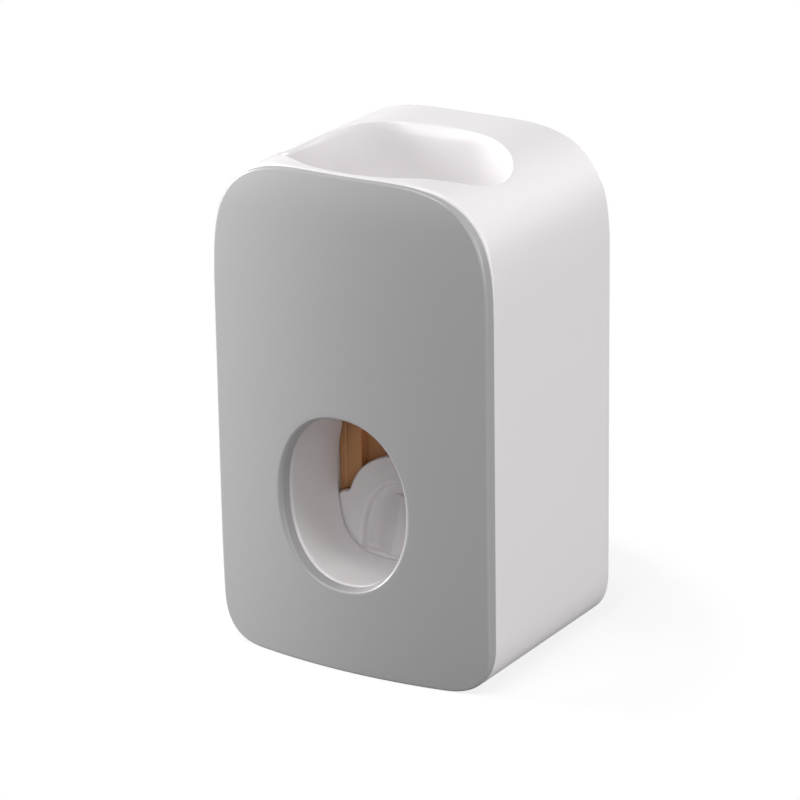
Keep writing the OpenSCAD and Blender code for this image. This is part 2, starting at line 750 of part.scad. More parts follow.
module pusher() {
    barrel_half = barrel_l / 2;
    color(white) seat() {
        difference() {
            union() {
                along_y(pusher_y, pusher_back) {
                    translate([-pusher_w / 2, pivot_z + 1]) square([pusher_w, shoulder_z - pivot_z - 1]);
                    translate([0, shoulder_z]) polygon(dome(dome_r, dome_fillet));
                }
                along_y(pusher_back - join, pocket_back) translate([0, pocket_z - pocket_wall])
                    polygon(arch(pocket_w + 2 * pocket_wall, pocket_h + 2 * pocket_wall, 3));
                translate([-barrel_half, pivot_y, pivot_z]) rotate([0, 90, 0])
                    cylinder(r = barrel_r, h = barrel_l, $fn = round_fn);
                translate([-barrel_half, pusher_y, pivot_z - 1])
                    cube([barrel_l, pivot_y - pusher_y, 4]);
                both_sides() translate([pusher_w / 2 - 3.6, pusher_back - join, pivot_z])
                    cube([1.6, pocket_back - pusher_back, shoulder_z - pivot_z - 3]);
                translate([0, pocket_back + 2.4, spring_z]) rotate([90, 0, 0])
                    cylinder(r = spring_seat_r, h = 2.5, $fn = 48);
            }
            along_y(pusher_y - 1, pusher_y + pocket_d) translate([0, pocket_z])
                polygon(arch(pocket_w, pocket_h, 3));
            translate([-body_w / 2, pivot_y, pivot_z]) rotate([0, 90, 0])
                cylinder(r = pin_r + 0.3, h = body_w, $fn = 48);
            both_sides() translate([barrel_half - bush_l, pivot_y, pivot_z]) rotate([0, 90, 0])
                cylinder(r = bush_r, h = bush_l + 1, $fn = 48);
        }
        ridge();
    }
}

module pivot_pin() {
    groove = core_w / 2 + 0.2;
    half = groove + 2 * clip_t;
    color(steel) seat() translate([0, pivot_y, pivot_z]) rotate([0, 90, 0]) difference() {
        translate([0, 0, -half]) cylinder(r = pin_r, h = 2 * half, $fn = 48);
        for (s = [-1, 1]) translate([0, 0, s * (groove + clip_t / 2) - clip_t / 2]) difference() {
            cylinder(r = pin_r + 1, h = clip_t, $fn = 48);
            translate([0, 0, -join]) cylinder(r = pin_r - groove_d, h = clip_t + 2 * join, $fn = 48);
        }
    }
}

module pin_clips() {
    groove = core_w / 2 + 0.2;
    color(steel) seat() both_sides() translate([groove, pivot_y, pivot_z]) rotate([0, 90, 0])
        difference() {
            cylinder(r = pin_r + clip_rim, h = clip_t, $fn = 64);
            translate([0, 0, -join]) cylinder(r = pin_r - groove_d, h = clip_t + 2 * join, $fn = 48);
            translate([0, -clip_rim / 2, -join]) cube([past, clip_rim, clip_t + 2 * join]);
        }
}

module pivot_bushes() {
    start = barrel_l / 2 - bush_l;
    color([0.85, 0.85, 0.82]) seat() both_sides() translate([start, pivot_y, pivot_z]) rotate([0, 90, 0])
        difference() {
            union() {
                cylinder(r = bush_r, h = bush_l + bush_flange, $fn = 48);
                translate([0, 0, bush_l]) cylinder(r = bush_r + 0.8, h = bush_flange, $fn = 48);
            }
            translate([0, 0, -join])
                cylinder(r = pin_r + pin_clear, h = bush_l + bush_flange + 2 * join, $fn = 48);
        }
}

module press_pad() {
    pad_z = pocket_z + pocket_h - pad_h / 2 + 0.3;
    color([0.35, 0.35, 0.36]) seat() along_y(pocket_back, pocket_back + pad_t)
        translate([0, pad_z]) rounded_plan(pad_w, pad_h, pad_corner);
}

// Coil along +Y: 6 sides, 8 rings a turn, with the end turns lying close together
module return_spring() {
    rings = 8 * spring_turns;
    sides = 6;
    span = spring_end - spring_start;
    close = 2.2 * spring_wire / span;
    points = [for (i = [0:rings], j = [0:sides - 1])
        let (t = i / rings,
             u = t * spring_turns,
             y = u < 1 ? close * u
                 : u > spring_turns - 1 ? 1 - close * (spring_turns - u)
                 : close + (1 - 2 * close) * (u - 1) / (spring_turns - 2),
             a = 360 * u,
             b = 360 * j / sides,
             r = spring_r + spring_wire * cos(b))
        [r * cos(a), y * span + spring_wire * sin(b), r * sin(a)]];
    quads = [for (i = [0:rings - 1], j = [0:sides - 1])
        let (k = (j + 1) % sides, this = i * sides, next = this + sides)
        [this + j, this + k, next + k, next + j]];
    triangles = [for (q = quads) each [[q[0], q[1], q[2]], [q[0], q[2], q[3]]]];
    start_cap = [for (j = [1:sides - 2]) [0, j + 1, j]];
    last = rings * sides;
    end_cap = [for (j = [1:sides - 2]) [last, last + j, last + j + 1]];
    color(steel) seat() translate([0, spring_start, spring_z])
        polyhedron(points = points, faces = concat(triangles, start_cap, end_cap), convexity = 10);
}

// One hook: a stem through the back cover and a lip that stands up behind it
module hook() {
    tip_y = cover_front - 0.3 - plate_t;
    translate([-hook_w / 2, tip_y, -hook_h / 2]) {
        cube([hook_w, plate_back - plate_t + join - tip_y, hook_h]);
        cube([hook_w, plate_t, hook_h + hook_lip]);
    }
}

module plate_outline(inset) {
    translate([0, plate_z + plate_h / 2])
        rounded_plan(plate_w - 2 * inset, plate_h - 2 * inset, plate_corner - inset);
}

module wall_plate() {
    color(white) seat() {
        along_y(plate_back - plate_t, plate_back) plate_outline(0);
        both_sides() for (z = [hook_low, hook_low + hook_pitch])
            translate([hook_x, 0, plate_z + z]) hook();
    }
}

module adhesive_pad() {
    color([0.25, 0.25, 0.26]) seat() along_y(plate_back, back_y) plate_outline(1);
}

housing();
front_panel();
brush_guide();
back_cover();
cover_screws();
core_frame();
core_screws();
feed_cup();
cup_screws();
tube_seal();
seal_retainer();
valve_seat();
inlet_valve();
bladder();
nozzle();
outlet_valve();
pusher();
pivot_pin();
pin_clips();
pivot_bushes();
press_pad();
return_spring();
wall_plate();
adhesive_pad();
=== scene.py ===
import itertools
import json
import math
from functools import partialmethod

import bmesh
import bpy
import numpy as np
from mathutils import Matrix, Vector


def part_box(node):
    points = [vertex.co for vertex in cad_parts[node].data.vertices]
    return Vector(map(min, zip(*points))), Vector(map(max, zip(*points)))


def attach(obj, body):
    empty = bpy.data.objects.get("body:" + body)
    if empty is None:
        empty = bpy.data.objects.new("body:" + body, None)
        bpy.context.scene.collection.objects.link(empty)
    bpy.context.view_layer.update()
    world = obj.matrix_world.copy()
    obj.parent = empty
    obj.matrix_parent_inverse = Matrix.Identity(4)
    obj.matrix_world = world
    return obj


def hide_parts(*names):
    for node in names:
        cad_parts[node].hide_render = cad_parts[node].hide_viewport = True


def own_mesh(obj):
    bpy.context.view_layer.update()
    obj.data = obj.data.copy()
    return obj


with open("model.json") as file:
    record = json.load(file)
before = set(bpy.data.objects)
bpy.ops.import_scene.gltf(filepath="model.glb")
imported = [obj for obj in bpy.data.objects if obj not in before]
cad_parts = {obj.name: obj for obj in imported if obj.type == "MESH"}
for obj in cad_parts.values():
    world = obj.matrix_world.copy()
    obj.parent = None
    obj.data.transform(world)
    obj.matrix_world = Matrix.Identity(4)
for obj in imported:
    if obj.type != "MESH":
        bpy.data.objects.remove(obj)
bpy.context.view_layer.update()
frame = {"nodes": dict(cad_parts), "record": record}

SCENE = bpy.context.scene

# Driving sizes of the part, in millimetres. Depths are counted from the front edge of the side walls.
MM = 0.001
BODY_D = 48.6
WALL = 2.0
FRONT_BULGE = 4.4
TOP_CORNER, TOP_FULLNESS = 29.0, 3.3
BASE_CORNER, BASE_FULLNESS = 11.5, 2.7
PANEL_T, PANEL_CROWN, PANEL_LEAN, PANEL_SEAM = 1.4, 1.2, 5.0, 0.15
OPENING_W, OPENING_H, OPENING_Z, OPENING_FULLNESS = 30.5, 38.4, 38.2, 2.2
BOWL_W, BOWL_D, BOWL_Y, BOWL_H = 50.0, 34.4, 16.4, 21.0
BOWL_CURVE, BOWL_FULLNESS = 6.4, 2.6
FLOOR_HOLE_R = 9.0
GUIDE_MARGIN, GUIDE_WALL, GUIDE_FLANGE, GUIDE_FLANGE_T = 0.4, 1.3, 3.0, 1.6
GUIDE_CLEAR, GUIDE_END, GUIDE_RISE = 0.1, 17.3, 5.0
PUSHER_GAP, PUSHER_W, PUSHER_T = 0.3, 33.2, 2.0
SHOULDER_Z, DOME_HALF, DOME_H, DOME_FILLET = 30.6, 13.9, 10.4, 2.0
POCKET_W, POCKET_H, POCKET_Z, POCKET_D, POCKET_WALL = 21.6, 16.8, 17.9, 2.6, 1.3
POCKET_FULLNESS = 2.25
BARREL_R, PIN_R, BUSH_R, BUSH_L = 3.5, 1.5, 2.4, 8.0
SPRING_Z, SPRING_SEAT_R = 25.0, 1.7
SPRING_R, SPRING_WIRE, SPRING_TURNS = 3.0, 0.35, 6
SCREW_R, HEAD_R, HEAD_H, THREAD_L, BOSS_R = 1.25, 2.7, 1.5, 7.0, 3.2
CORE_SCREW_X, CORE_SCREWS_Z = 26.0, (18.0, 58.0)
COVER_SCREW_X, COVER_SCREWS_Z = 25.5, (8.6, 91.0)
COVER_T, COVER_INSET, CORE_T = 2.0, 2.0, 2.0

# Sizes that follow from these and from the frame
HOUSING_LOW, HOUSING_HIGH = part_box("housing")
BODY_W = (HOUSING_HIGH.x - HOUSING_LOW.x) / MM
BODY_H = HOUSING_HIGH.z / MM
EDGE_Y = HOUSING_HIGH.y / MM - BODY_D
FRONT_R = ((BODY_W / 2) ** 2 + FRONT_BULGE**2) / (2 * FRONT_BULGE)
RIM_R = BOWL_D / 2
BOWL_HALF = (BOWL_W - BOWL_D) / 2
FLOOR_Z = BODY_H - BOWL_H
PUSHER_Y = GUIDE_END + PUSHER_GAP
PUSHER_BACK = PUSHER_Y + PUSHER_T
POCKET_BACK = PUSHER_Y + POCKET_D + POCKET_WALL
PIVOT_Y, PIVOT_Z = POCKET_BACK, 12.0
CORE_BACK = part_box("core_frame")[1].y / MM - EDGE_Y - CORE_T
COVER_BACK = BODY_D - COVER_INSET
BARREL_L = 2 * (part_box("pivot_bushes")[1].x / MM - 1.0)
CHEEK_X = BARREL_L / 2 + 1.4
PAST = 20.0


# Paths and rings

TOP_STEPS, BASE_STEPS, CORNER_STEPS = 400, 200, 10
NORMAL_STEP = 0.3


def rounded(radius, steps):
    """Steps (inset, drop) of a rounded edge, from the side that it leaves to the face that it meets."""
    for a in np.linspace(0, math.pi / 2, steps + 1):
        yield radius * (1 - math.cos(a)), radius * (1 - math.sin(a))


def ease(value, start, end):
    """0 before the start, 1 past the end, and smooth between them."""
    t = np.clip((value - start) / (end - start), 0, 1)
    return t * t * (3 - 2 * t)


def power_arc(centre, radii, fullness, start, end, steps):
    """Points of an arc of a superellipse, in degrees."""
    angle = np.radians(np.linspace(start, end, steps + 1))
    c, s = np.cos(angle), np.sin(angle)
    x = centre[0] + radii[0] * np.sign(c) * np.abs(c) ** (2 / fullness)
    z = centre[1] + radii[1] * np.sign(s) * np.abs(s) ** (2 / fullness)
    return np.stack([x, z], 1)


def body_outline():
    """Front view of the body, from the middle of the top towards +X and round."""
    half = BODY_W / 2
    top = power_arc((half - TOP_CORNER, BODY_H - TOP_CORNER), (TOP_CORNER, TOP_CORNER), TOP_FULLNESS,
                    90, 0, TOP_STEPS)
    base = power_arc((half - BASE_CORNER, BASE_CORNER), (BASE_CORNER, BASE_CORNER), BASE_FULLNESS,
                     0, -90, BASE_STEPS)
    right = np.vstack([top, base])
    left = right[::-1] * (-1, 1)
    return np.vstack([[[0, BODY_H]], right, left])


class Path:
    """A closed path in the front view, run clockwise and read by the length along it."""

    def __init__(self, points):
        self.points = np.vstack([points, points[:1]])
        steps = np.linalg.norm(np.diff(self.points, axis=0), axis=1)
        self.at = np.concatenate([[0], np.cumsum(steps)])
        self.length = self.at[-1]

    def point(self, s):
        s = np.mod(s, self.length)
        return np.stack([np.interp(s, self.at, self.points[:, k]) for k in (0, 1)], -1)

    def normal(self, s):
        ahead = self.point(s + NORMAL_STEP) - self.point(s - NORMAL_STEP)
        out = np.stack([-ahead[..., 1], ahead[..., 0]], -1)
        return out / np.linalg.norm(out, axis=-1, keepdims=True)

    def moved(self, out):
        """The path with every point moved outwards."""
        s = self.at[:-1]
        return self.points[:-1] + out * self.normal(s)


def rays(path, centre, angles):
    """Where rays from the centre meet a path that goes round it once."""
    d = path - centre
    turn = np.arctan2(d[:, 1], d[:, 0])
    order = np.argsort(turn)
    reach = np.linalg.norm(d, axis=1)[order]
    turn = turn[order]
    turn = np.concatenate([turn[-1:] - 2 * np.pi, turn, turn[:1] + 2 * np.pi])
    reach = np.interp(angles, turn, np.concatenate([reach[-1:], reach, reach[:1]]))
    return np.asarray(centre) + reach[:, None] * np.stack([np.cos(angles), np.sin(angles)], 1)


def rounded_corner(before, here, after, radius):
    """Points of the arc that rounds the corner between two others."""
    here = np.array(here, float)
    before, after = ((end - here) / np.linalg.norm(end - here) for end in (before, after))
    half = math.acos(before @ after) / 2
    run = radius / math.tan(half)
    middle = here + (before + after) / np.linalg.norm(before + after) * radius / math.sin(half)
    a, b = here + before * run - middle, here + after * run - middle
    turn = np.linspace(0, math.atan2(a[0] * b[1] - a[1] * b[0], a @ b), CORNER_STEPS + 1)
    c, s = np.cos(turn), np.sin(turn)
    return middle + np.stack([a[0] * c - a[1] * s, a[0] * s + a[1] * c], 1)


def refine(path, step):
    """A closed path with more points, no further apart than step."""
    made = Path(path)
    extra = np.arange(0, made.length, step)
    return made.point(np.unique(np.concatenate([made.at[:-1], extra])))


def bulge(x):
    """How far the curve of the front stands in front of the side edges."""
    return np.sqrt(FRONT_R**2 - x * x) - FRONT_R + FRONT_BULGE


def panel_face(x, z):
    """Depth of the panel's outer face, which leans back near its top and its bottom."""
    t = np.minimum(np.abs(2 * z / BODY_H - 1), 1)
    roll = PANEL_ROLL * np.clip(1 - (BODY_H - z) / PANEL_ROLL_W, 0, 1) ** 2
    return roll - bulge(x) - PANEL_T - PANEL_SEAM - PANEL_CROWN * (1 - t**PANEL_LEAN)


def upright(path, depth):
    """A front view path at a depth, as points (x, depth, z)."""
    depth = np.broadcast_to(depth, (len(path),))
    return np.stack([path[:, 0], depth, path[:, 1]], 1)


# Meshes

# Points closer than these, in metres, are welded: in a new mesh, and in a node of the frame
WELD, NODE_WELD = 2e-6, 1e-6
FLAT_ANGLE = 0.5


class Shell:
    """Points and faces of one closed shell, put together from strips. Millimetres, (x, depth, z)."""

    def __init__(self):
        self.points, self.faces, self.count = [], [], 0

    def add(self, points):
        start = self.count
        self.points.append(np.asarray(points, float))
        self.count += len(points)
        return start

    def strip(self, rings, closed=True):
        """Joins rings of as many points each, one after another."""
        n = len(rings[0])
        starts = [self.add(ring) for ring in rings]
        for low, high in zip(starts, starts[1:]):
            for j in range(n if closed else n - 1):
                k = (j + 1) % n
                self.faces.append((low + j, low + k, high + k, high + j))

    def cap(self, ring, centre):
        """Closes a ring by a fan to its centre."""
        n = len(ring)
        start = self.add(ring)
        middle = self.add([centre])
        for j in range(n):
            self.faces.append((start + j, start + (j + 1) % n, middle))

    def build(self, name):
        points = np.vstack(self.points) * MM
        points[:, 1] += EDGE_Y * MM
        mesh = bpy.data.meshes.new(name)
        mesh.from_pydata(points.tolist(), [], self.faces)
        obj = link(bpy.data.objects.new(name, mesh))
        mend(obj)
        return obj


def link(obj):
    SCENE.collection.objects.link(obj)
    return obj


def mend(obj):
    """Welds a mesh's doubles, and turns its faces outwards."""
    bm = bmesh.new()
    bm.from_mesh(obj.data)
    bmesh.ops.remove_doubles(bm, verts=bm.verts, dist=WELD)
    bmesh.ops.dissolve_degenerate(bm, dist=WELD / 4, edges=bm.edges)
    bmesh.ops.recalc_face_normals(bm, faces=bm.faces)
    bm.to_mesh(obj.data)
    bm.free()


def settle(obj):
    """Turns an object's modifiers into its mesh."""
    bpy.context.view_layer.update()
    graph = bpy.context.evaluated_depsgraph_get()
    mesh = bpy.data.meshes.new_from_object(obj.evaluated_get(graph))
    obj.modifiers.clear()
    obj.data = mesh
    return obj


def combine(obj, operation, *others):
    """Joins, cuts or intersects closed shells, and removes the tools."""
    for other in others:
        change = obj.modifiers.new("combine", "BOOLEAN")
        change.operation = operation
        change.object = other
        change.solver = "MANIFOLD"
    settle(obj)
    for other in others:
        bpy.data.objects.remove(other)
    return obj


def smooth(obj, angle=32):
    """Smooth shading with sharp edges past an angle, in degrees. Large flat faces stay flat."""
    obj.data.shade_smooth()
    obj.data.set_sharp_from_angle(angle=math.radians(angle))
    change = obj.modifiers.new("shading", "WEIGHTED_NORMAL")
    change.keep_sharp = True
    return settle(obj)


def bevel(obj, width, segments=3, angle=35):
    """Rounds the hard edges of a mesh, width in millimetres."""
    change = obj.modifiers.new("edges", "BEVEL")
    change.width = width * MM
    change.segments = segments
    change.limit_method = "ANGLE"
    change.angle_limit = math.radians(angle)
    change.miter_outer = "MITER_ARC"
    return settle(obj)


def closed(name, rings, first, last):
    """Piece made of rings, its ends closed by fans to two centres."""
    shell = Shell()
    shell.strip(rings)
    shell.cap(rings[0], first)
    shell.cap(rings[-1], last)
    return shell.build(name)


def tube(name, start, end, radius, steps=48):
    """Cylinder between two points (x, depth, z) of one height."""
    a, b = np.array(start, float), np.array(end, float)
    axis = (b - a) / np.linalg.norm(b - a)
    side = np.cross(axis, (0, 0, 1.0))
    up = np.cross(axis, side)
    angle = np.linspace(0, 2 * np.pi, steps, endpoint=False)[:, None]
    ring = radius * (np.cos(angle) * side + np.sin(angle) * up)
    return closed(name, [a + ring, b + ring], a, b)


def prism(name, path, y0, y1):
    """Outline of the front view given depth."""
    x, z = path.mean(0)
    return closed(name, [upright(path, y0), upright(path, y1)], (x, y0, z), (x, y1, z))


def block(name, low, high):
    """Box between two corners (x, depth, z)."""
    (x0, y0, z0), (x1, y1, z1) = low, high
    return prism(name, np.array([(x0, z0), (x1, z0), (x1, z1), (x0, z1)]), y0, y1)


def softened(node, width):
    """A copy of a CAD node with its hard edges rounded. Width is in millimetres."""
    obj = link(bpy.data.objects.new(node + "_piece", frame["nodes"][node].data.copy()))
    bm = bmesh.new()
    bm.from_mesh(obj.data)
    bmesh.ops.remove_doubles(bm, verts=bm.verts, dist=NODE_WELD)
    bmesh.ops.dissolve_limit(bm, angle_limit=math.radians(FLAT_ANGLE), verts=bm.verts, edges=bm.edges)
    bm.to_mesh(obj.data)
    bm.free()
    bevel(obj, width, segments=2)
    return smooth(obj)


# Housing

RIM_HALF_W, RIM_HALF_D, RIM_DROP = 26.4, 19.2, 2.4
RIM_STEPS, RIM_OUT_POWER, RIM_DROP_POWER = 12, 1.6, 1.15
TOP_BLEND = 9.0
BOWL_STEPS, BOWL_SIDES, SKIN_DROP = 26, 192, 0.4
SHAFT_EDGE, SHAFT_L = 0.3, 2 * WALL - 0.5
FRONT_DIP = 0.6
DIP_Y, DIP_Z, DIP_X = (3.0, -2.0), (103.0, 109.0), (25.0, 8.0)
FRONT_EDGE, TOP_LIP, BACK_EDGE, EDGE_STEPS, FACE_INSET = 0.4, 0.7, 0.7, 5, 2.6
PATCH_X, PATCH_ACROSS, PATCH_DEEP, PATCH_RINGS, AROUND_STEPS = 30.3, 96, 44, 15, 259
REAR_CHAMFER = 0.5
BOSS_L, RIB_HALF_T = 12.0, 1.0
HOLE_SPARE, HOLE_PLAY, OVERCUT = 2.0, 0.03, 0.05


def bowl_reach(cos, sin, radius):
    """How far a ray from the bowl's middle goes: two half circles joined by straight sides."""
    c, s = np.abs(cos), np.maximum(np.abs(sin), 1e-9)
    straight = radius / s
    turned = BOWL_HALF * c + np.sqrt(np.maximum(radius**2 - (BOWL_HALF * s) ** 2, 0))
    return np.where(straight * c <= BOWL_HALF, straight, turned)


def rim_flare(cos, sin):
    """How far the bowl's oval rim stands out past its wall."""
    return 1 / np.hypot(cos / RIM_HALF_W, sin / RIM_HALF_D) - bowl_reach(cos, sin, RIM_R)


def rim_rings(cos, sin, top_of):
    """The rim's rounding, crisp at the front and the back and soft at the ends."""
    soft = cos**2
    for t in np.linspace(0, 1, RIM_STEPS + 1):
        a = t * math.pi / 2
        out = soft * (1 - math.sin(a)) + (1 - soft) * (1 - t) ** RIM_OUT_POWER
        drop = soft * (1 - math.cos(a)) + (1 - soft) * t**RIM_DROP_POWER
        yield bowl_ring(cos, sin, RIM_R, RIM_DROP * drop, top_of, out * rim_flare(cos, sin))


def bowl_ring(cos, sin, radius, drop, top_of, flare=0.0):
    """Ring of the bowl in plan, drop below the top. It follows the top's curve only near the rim."""
    reach = bowl_reach(cos, sin, radius) + flare
    x, y = reach * cos, BOWL_Y + reach * sin
    share = ease(drop, 0, TOP_BLEND)
    z = (top_of(x) - drop) * (1 - share) + (BODY_H - drop) * share
    return np.stack([x, y, z + 0 * x], 1)


def bowl_profile(first_drop):
    """Inset and drop of the bowl's wall, from below the rim to the floor."""
    start = math.asin((first_drop / BOWL_H) ** (BOWL_FULLNESS / 2))
    power = 2 / BOWL_FULLNESS
    for a in np.linspace(start, math.pi / 2, BOWL_STEPS + 1):
        yield BOWL_CURVE * (1 - math.cos(a) ** power), BOWL_H * math.sin(a) ** power


def dip_front(points):
    """Lowers the strip between the bowl and the panel a little in the middle."""
    x, y, z = points[:, 0], points[:, 1], points[:, 2]
    points[:, 2] -= FRONT_DIP * ease(y, *DIP_Y) * ease(z, *DIP_Z) * ease(np.abs(x), *DIP_X)


def top_share(normal):
    """How much an edge of the front counts as its top: 1 where it faces up, 0 at the sides and below."""
    return np.sqrt(np.clip(normal[..., 1], 0, 1))


def front_round(normal):
    """Rounding of the housing's front edge, wider along the top."""
    return FRONT_EDGE + TOP_LIP * top_share(normal)


def housing_solid():
    """Outside of the housing with the bowl sunk in it, still filled inside."""
    path = Path(body_outline())
    first = slice(0, TOP_STEPS + 2)
    top_x, top_at, top_z = path.points[first, 0], path.at[first], path.points[first, 1]
    side = np.interp(PATCH_X, top_x, top_at)

    def along(x):
        return np.sign(x) * np.interp(np.abs(x), top_x, top_at)

    def top_of(x):
        return np.interp(np.abs(x), top_x, top_z)

    def wall_depth(s, v):
        start = front_round(path.normal(s)) - bulge(path.point(s)[..., 0])
        return start + v * (BODY_D - BACK_EDGE - start)

    # The top, from the bowl's rim out to four sides
    across, deep = PATCH_ACROSS, PATCH_DEEP
    run = np.linspace(-side, side, across + 1)
    v = np.linspace(0, 1, deep + 1)
    edge_s = np.concatenate([run[:-1], np.full(deep, side), run[::-1][:-1], np.full(deep, -side)])
    edge_v = np.concatenate([np.zeros(across), v[:-1], np.ones(across), v[::-1][:-1]])
    edge_y = wall_depth(edge_s, edge_v)
    edge_x = path.point(edge_s)[:, 0]
    turn = np.arctan2(edge_y - BOWL_Y, edge_x)
    cos, sin = np.cos(turn), np.sin(turn)
    reach = bowl_reach(cos, sin, RIM_R) + rim_flare(cos, sin)
    hole_s, hole_y = along(reach * cos), BOWL_Y + reach * sin
    shell = Shell()
    shell.strip([upright(path.point(hole_s + t * (edge_s - hole_s)), hole_y + t * (edge_y - hole_y))
                 for t in np.linspace(0, 1, PATCH_RINGS)])

    # The bowl, from the soft rim down to the hole in the floor
    rings = list(rim_rings(cos, sin, top_of))
    wall = list(bowl_profile(RIM_DROP))[1:]
    rings += [bowl_ring(cos, sin, RIM_R - inset, drop, top_of) for inset, drop in wall]
    floor = rings[-1]
    hole = np.stack([FLOOR_HOLE_R * cos, BOWL_Y + FLOOR_HOLE_R * sin, np.full(len(cos), FLOOR_Z)], 1)
    rings += [floor + t * (hole - floor) for t in np.linspace(0.2, 1, 5)]
    shaft = hole - (0, 0, SHAFT_L)
    rings += [hole - (0, 0, SHAFT_EDGE), shaft]
    shell.strip(rings)
    shell.cap(shaft, (0, BOWL_Y, shaft[0, 2]))

    # The sides and the base
    around = np.linspace(side, path.length - side, AROUND_STEPS + 1)
    rows = [upright(path.point(around), wall_depth(around, share)) for share in v]
    shell.strip(rows, closed=False)

    # Front and back edges all the way round
    s = np.concatenate([run[:-1], around[:-1]])
    at, out, x = path.point(s), path.normal(s), path.point(s)[:, 0]

    def edge_ring(inset, depth):
        return upright(at - np.reshape(inset, (-1, 1)) * out, depth)

    front = [edge_ring(inset, drop - bulge(x)) for inset, drop in rounded(front_round(out), EDGE_STEPS)]
    deeper = at - FACE_INSET * out
    middle = np.array((0, BODY_H / 2))
    for share in (1, 0.66, 0.33):
        ring = middle + share * (deeper - middle)
        front.append(upright(ring, -bulge(ring[:, 0])))
    shell.strip(front)
    shell.cap(front[-1], (0, -FRONT_BULGE, middle[1]))
    back = [edge_ring(inset, BODY_D - drop) for inset, drop in rounded(BACK_EDGE, EDGE_STEPS)]
    back.append(edge_ring(FACE_INSET, BODY_D))
    shell.strip(back)
    shell.cap(back[-1], (0, BODY_D, middle[1]))
    for points in shell.points:
        dip_front(points)
    return shell.build("housing_shell")


def bowl_skin(grow):
    """Solid of the bowl with its wall, up past the top."""
    turn = np.linspace(0, 2 * np.pi, BOWL_SIDES, endpoint=False)
    cos, sin = np.cos(turn), np.sin(turn)
    wider, deeper = (BOWL_CURVE + grow) / BOWL_CURVE, (BOWL_H + grow) / BOWL_H

    def ring(inset, drop):
        return bowl_ring(cos, sin, RIM_R + grow - inset, drop, lambda x: BODY_H)

    rings = [ring(0, -PAST)]
    rings += [ring(inset * wider, drop * deeper) for inset, drop in bowl_profile(SKIN_DROP)]
    return closed("bowl_skin", rings, (0, BOWL_Y, rings[0][0, 2]), (0, BOWL_Y, rings[-1][0, 2]))


def housing_cavity():
    """Everything inside the walls, round the bowl."""
    path = Path(body_outline())
    at, out = path.points[:-1][::3], path.normal(path.at[:-1][::3])
    wide = WALL - REAR_CHAMFER
    steps = ((WALL, -PAST), (WALL, BODY_D - REAR_CHAMFER), (wide, BODY_D), (wide, BODY_D + PAST))
    rings = [upright(at - inset * out, depth) for inset, depth in steps]
    cavity = closed("housing_cavity", rings, (0, -PAST, BODY_H / 2), (0, BODY_D + PAST, BODY_H / 2))
    return combine(cavity, "DIFFERENCE", bowl_skin(WALL))


def bosses():
    """Screw bosses with their ribs, and the holes in them, as (solids, cuts)."""
    solids, cuts = [], []
    wall_x = BODY_W / 2 - WALL / 2
    groups = ((CORE_SCREW_X, CORE_SCREWS_Z, CORE_BACK), (COVER_SCREW_X, COVER_SCREWS_Z, COVER_BACK - COVER_T))
    for screw_x, heights, end in groups:
        for side, z in itertools.product((-1, 1), heights):
            x = side * screw_x
            start, stop = end - THREAD_L - HOLE_SPARE, end + OVERCUT
            low, high = sorted((x, side * wall_x))
            solids.append(tube("boss", (x, end - BOSS_L, z), (x, end, z), BOSS_R))
            solids.append(block("rib", (low, end - BOSS_L, z - RIB_HALF_T), (high, end, z + RIB_HALF_T)))
            cuts.append(tube("boss_hole", (x, start, z), (x, stop, z), SCREW_R + HOLE_PLAY))
    return solids, cuts


def make_housing():
    """Hollow shell with its bowl and the bosses for the screws."""
    obj = housing_solid()
    combine(obj, "DIFFERENCE", housing_cavity())
    solids, cuts = bosses()
    combine(obj, "UNION", *solids)
    combine(obj, "DIFFERENCE", *cuts)
    return smooth(obj)


# Front panel

PANEL_SIDES, PANEL_ROUND, PANEL_RIM = 360, 0.6, 0.1
EDGE_RINGS, FACE_RINGS, LIP_RINGS, BACK_RINGS = 9, 45, 8, 13
PANEL_ROLL, PANEL_ROLL_W = 0.9, 11.0
LIP_ROUND, LIP_DRAFT, LIP_SIDE, LIP_NARROW, LIP_CHAMFER = 0.5, 0.4, 0.8, 0.5, 0.25
TAB_X, TAB_T, TAB_W, TAB_L, TAB_ROOT = 30.0, 1.3, 10.0, 6.0, 0.5
TABS_Z = (0.27 * BODY_H, 0.66 * BODY_H)


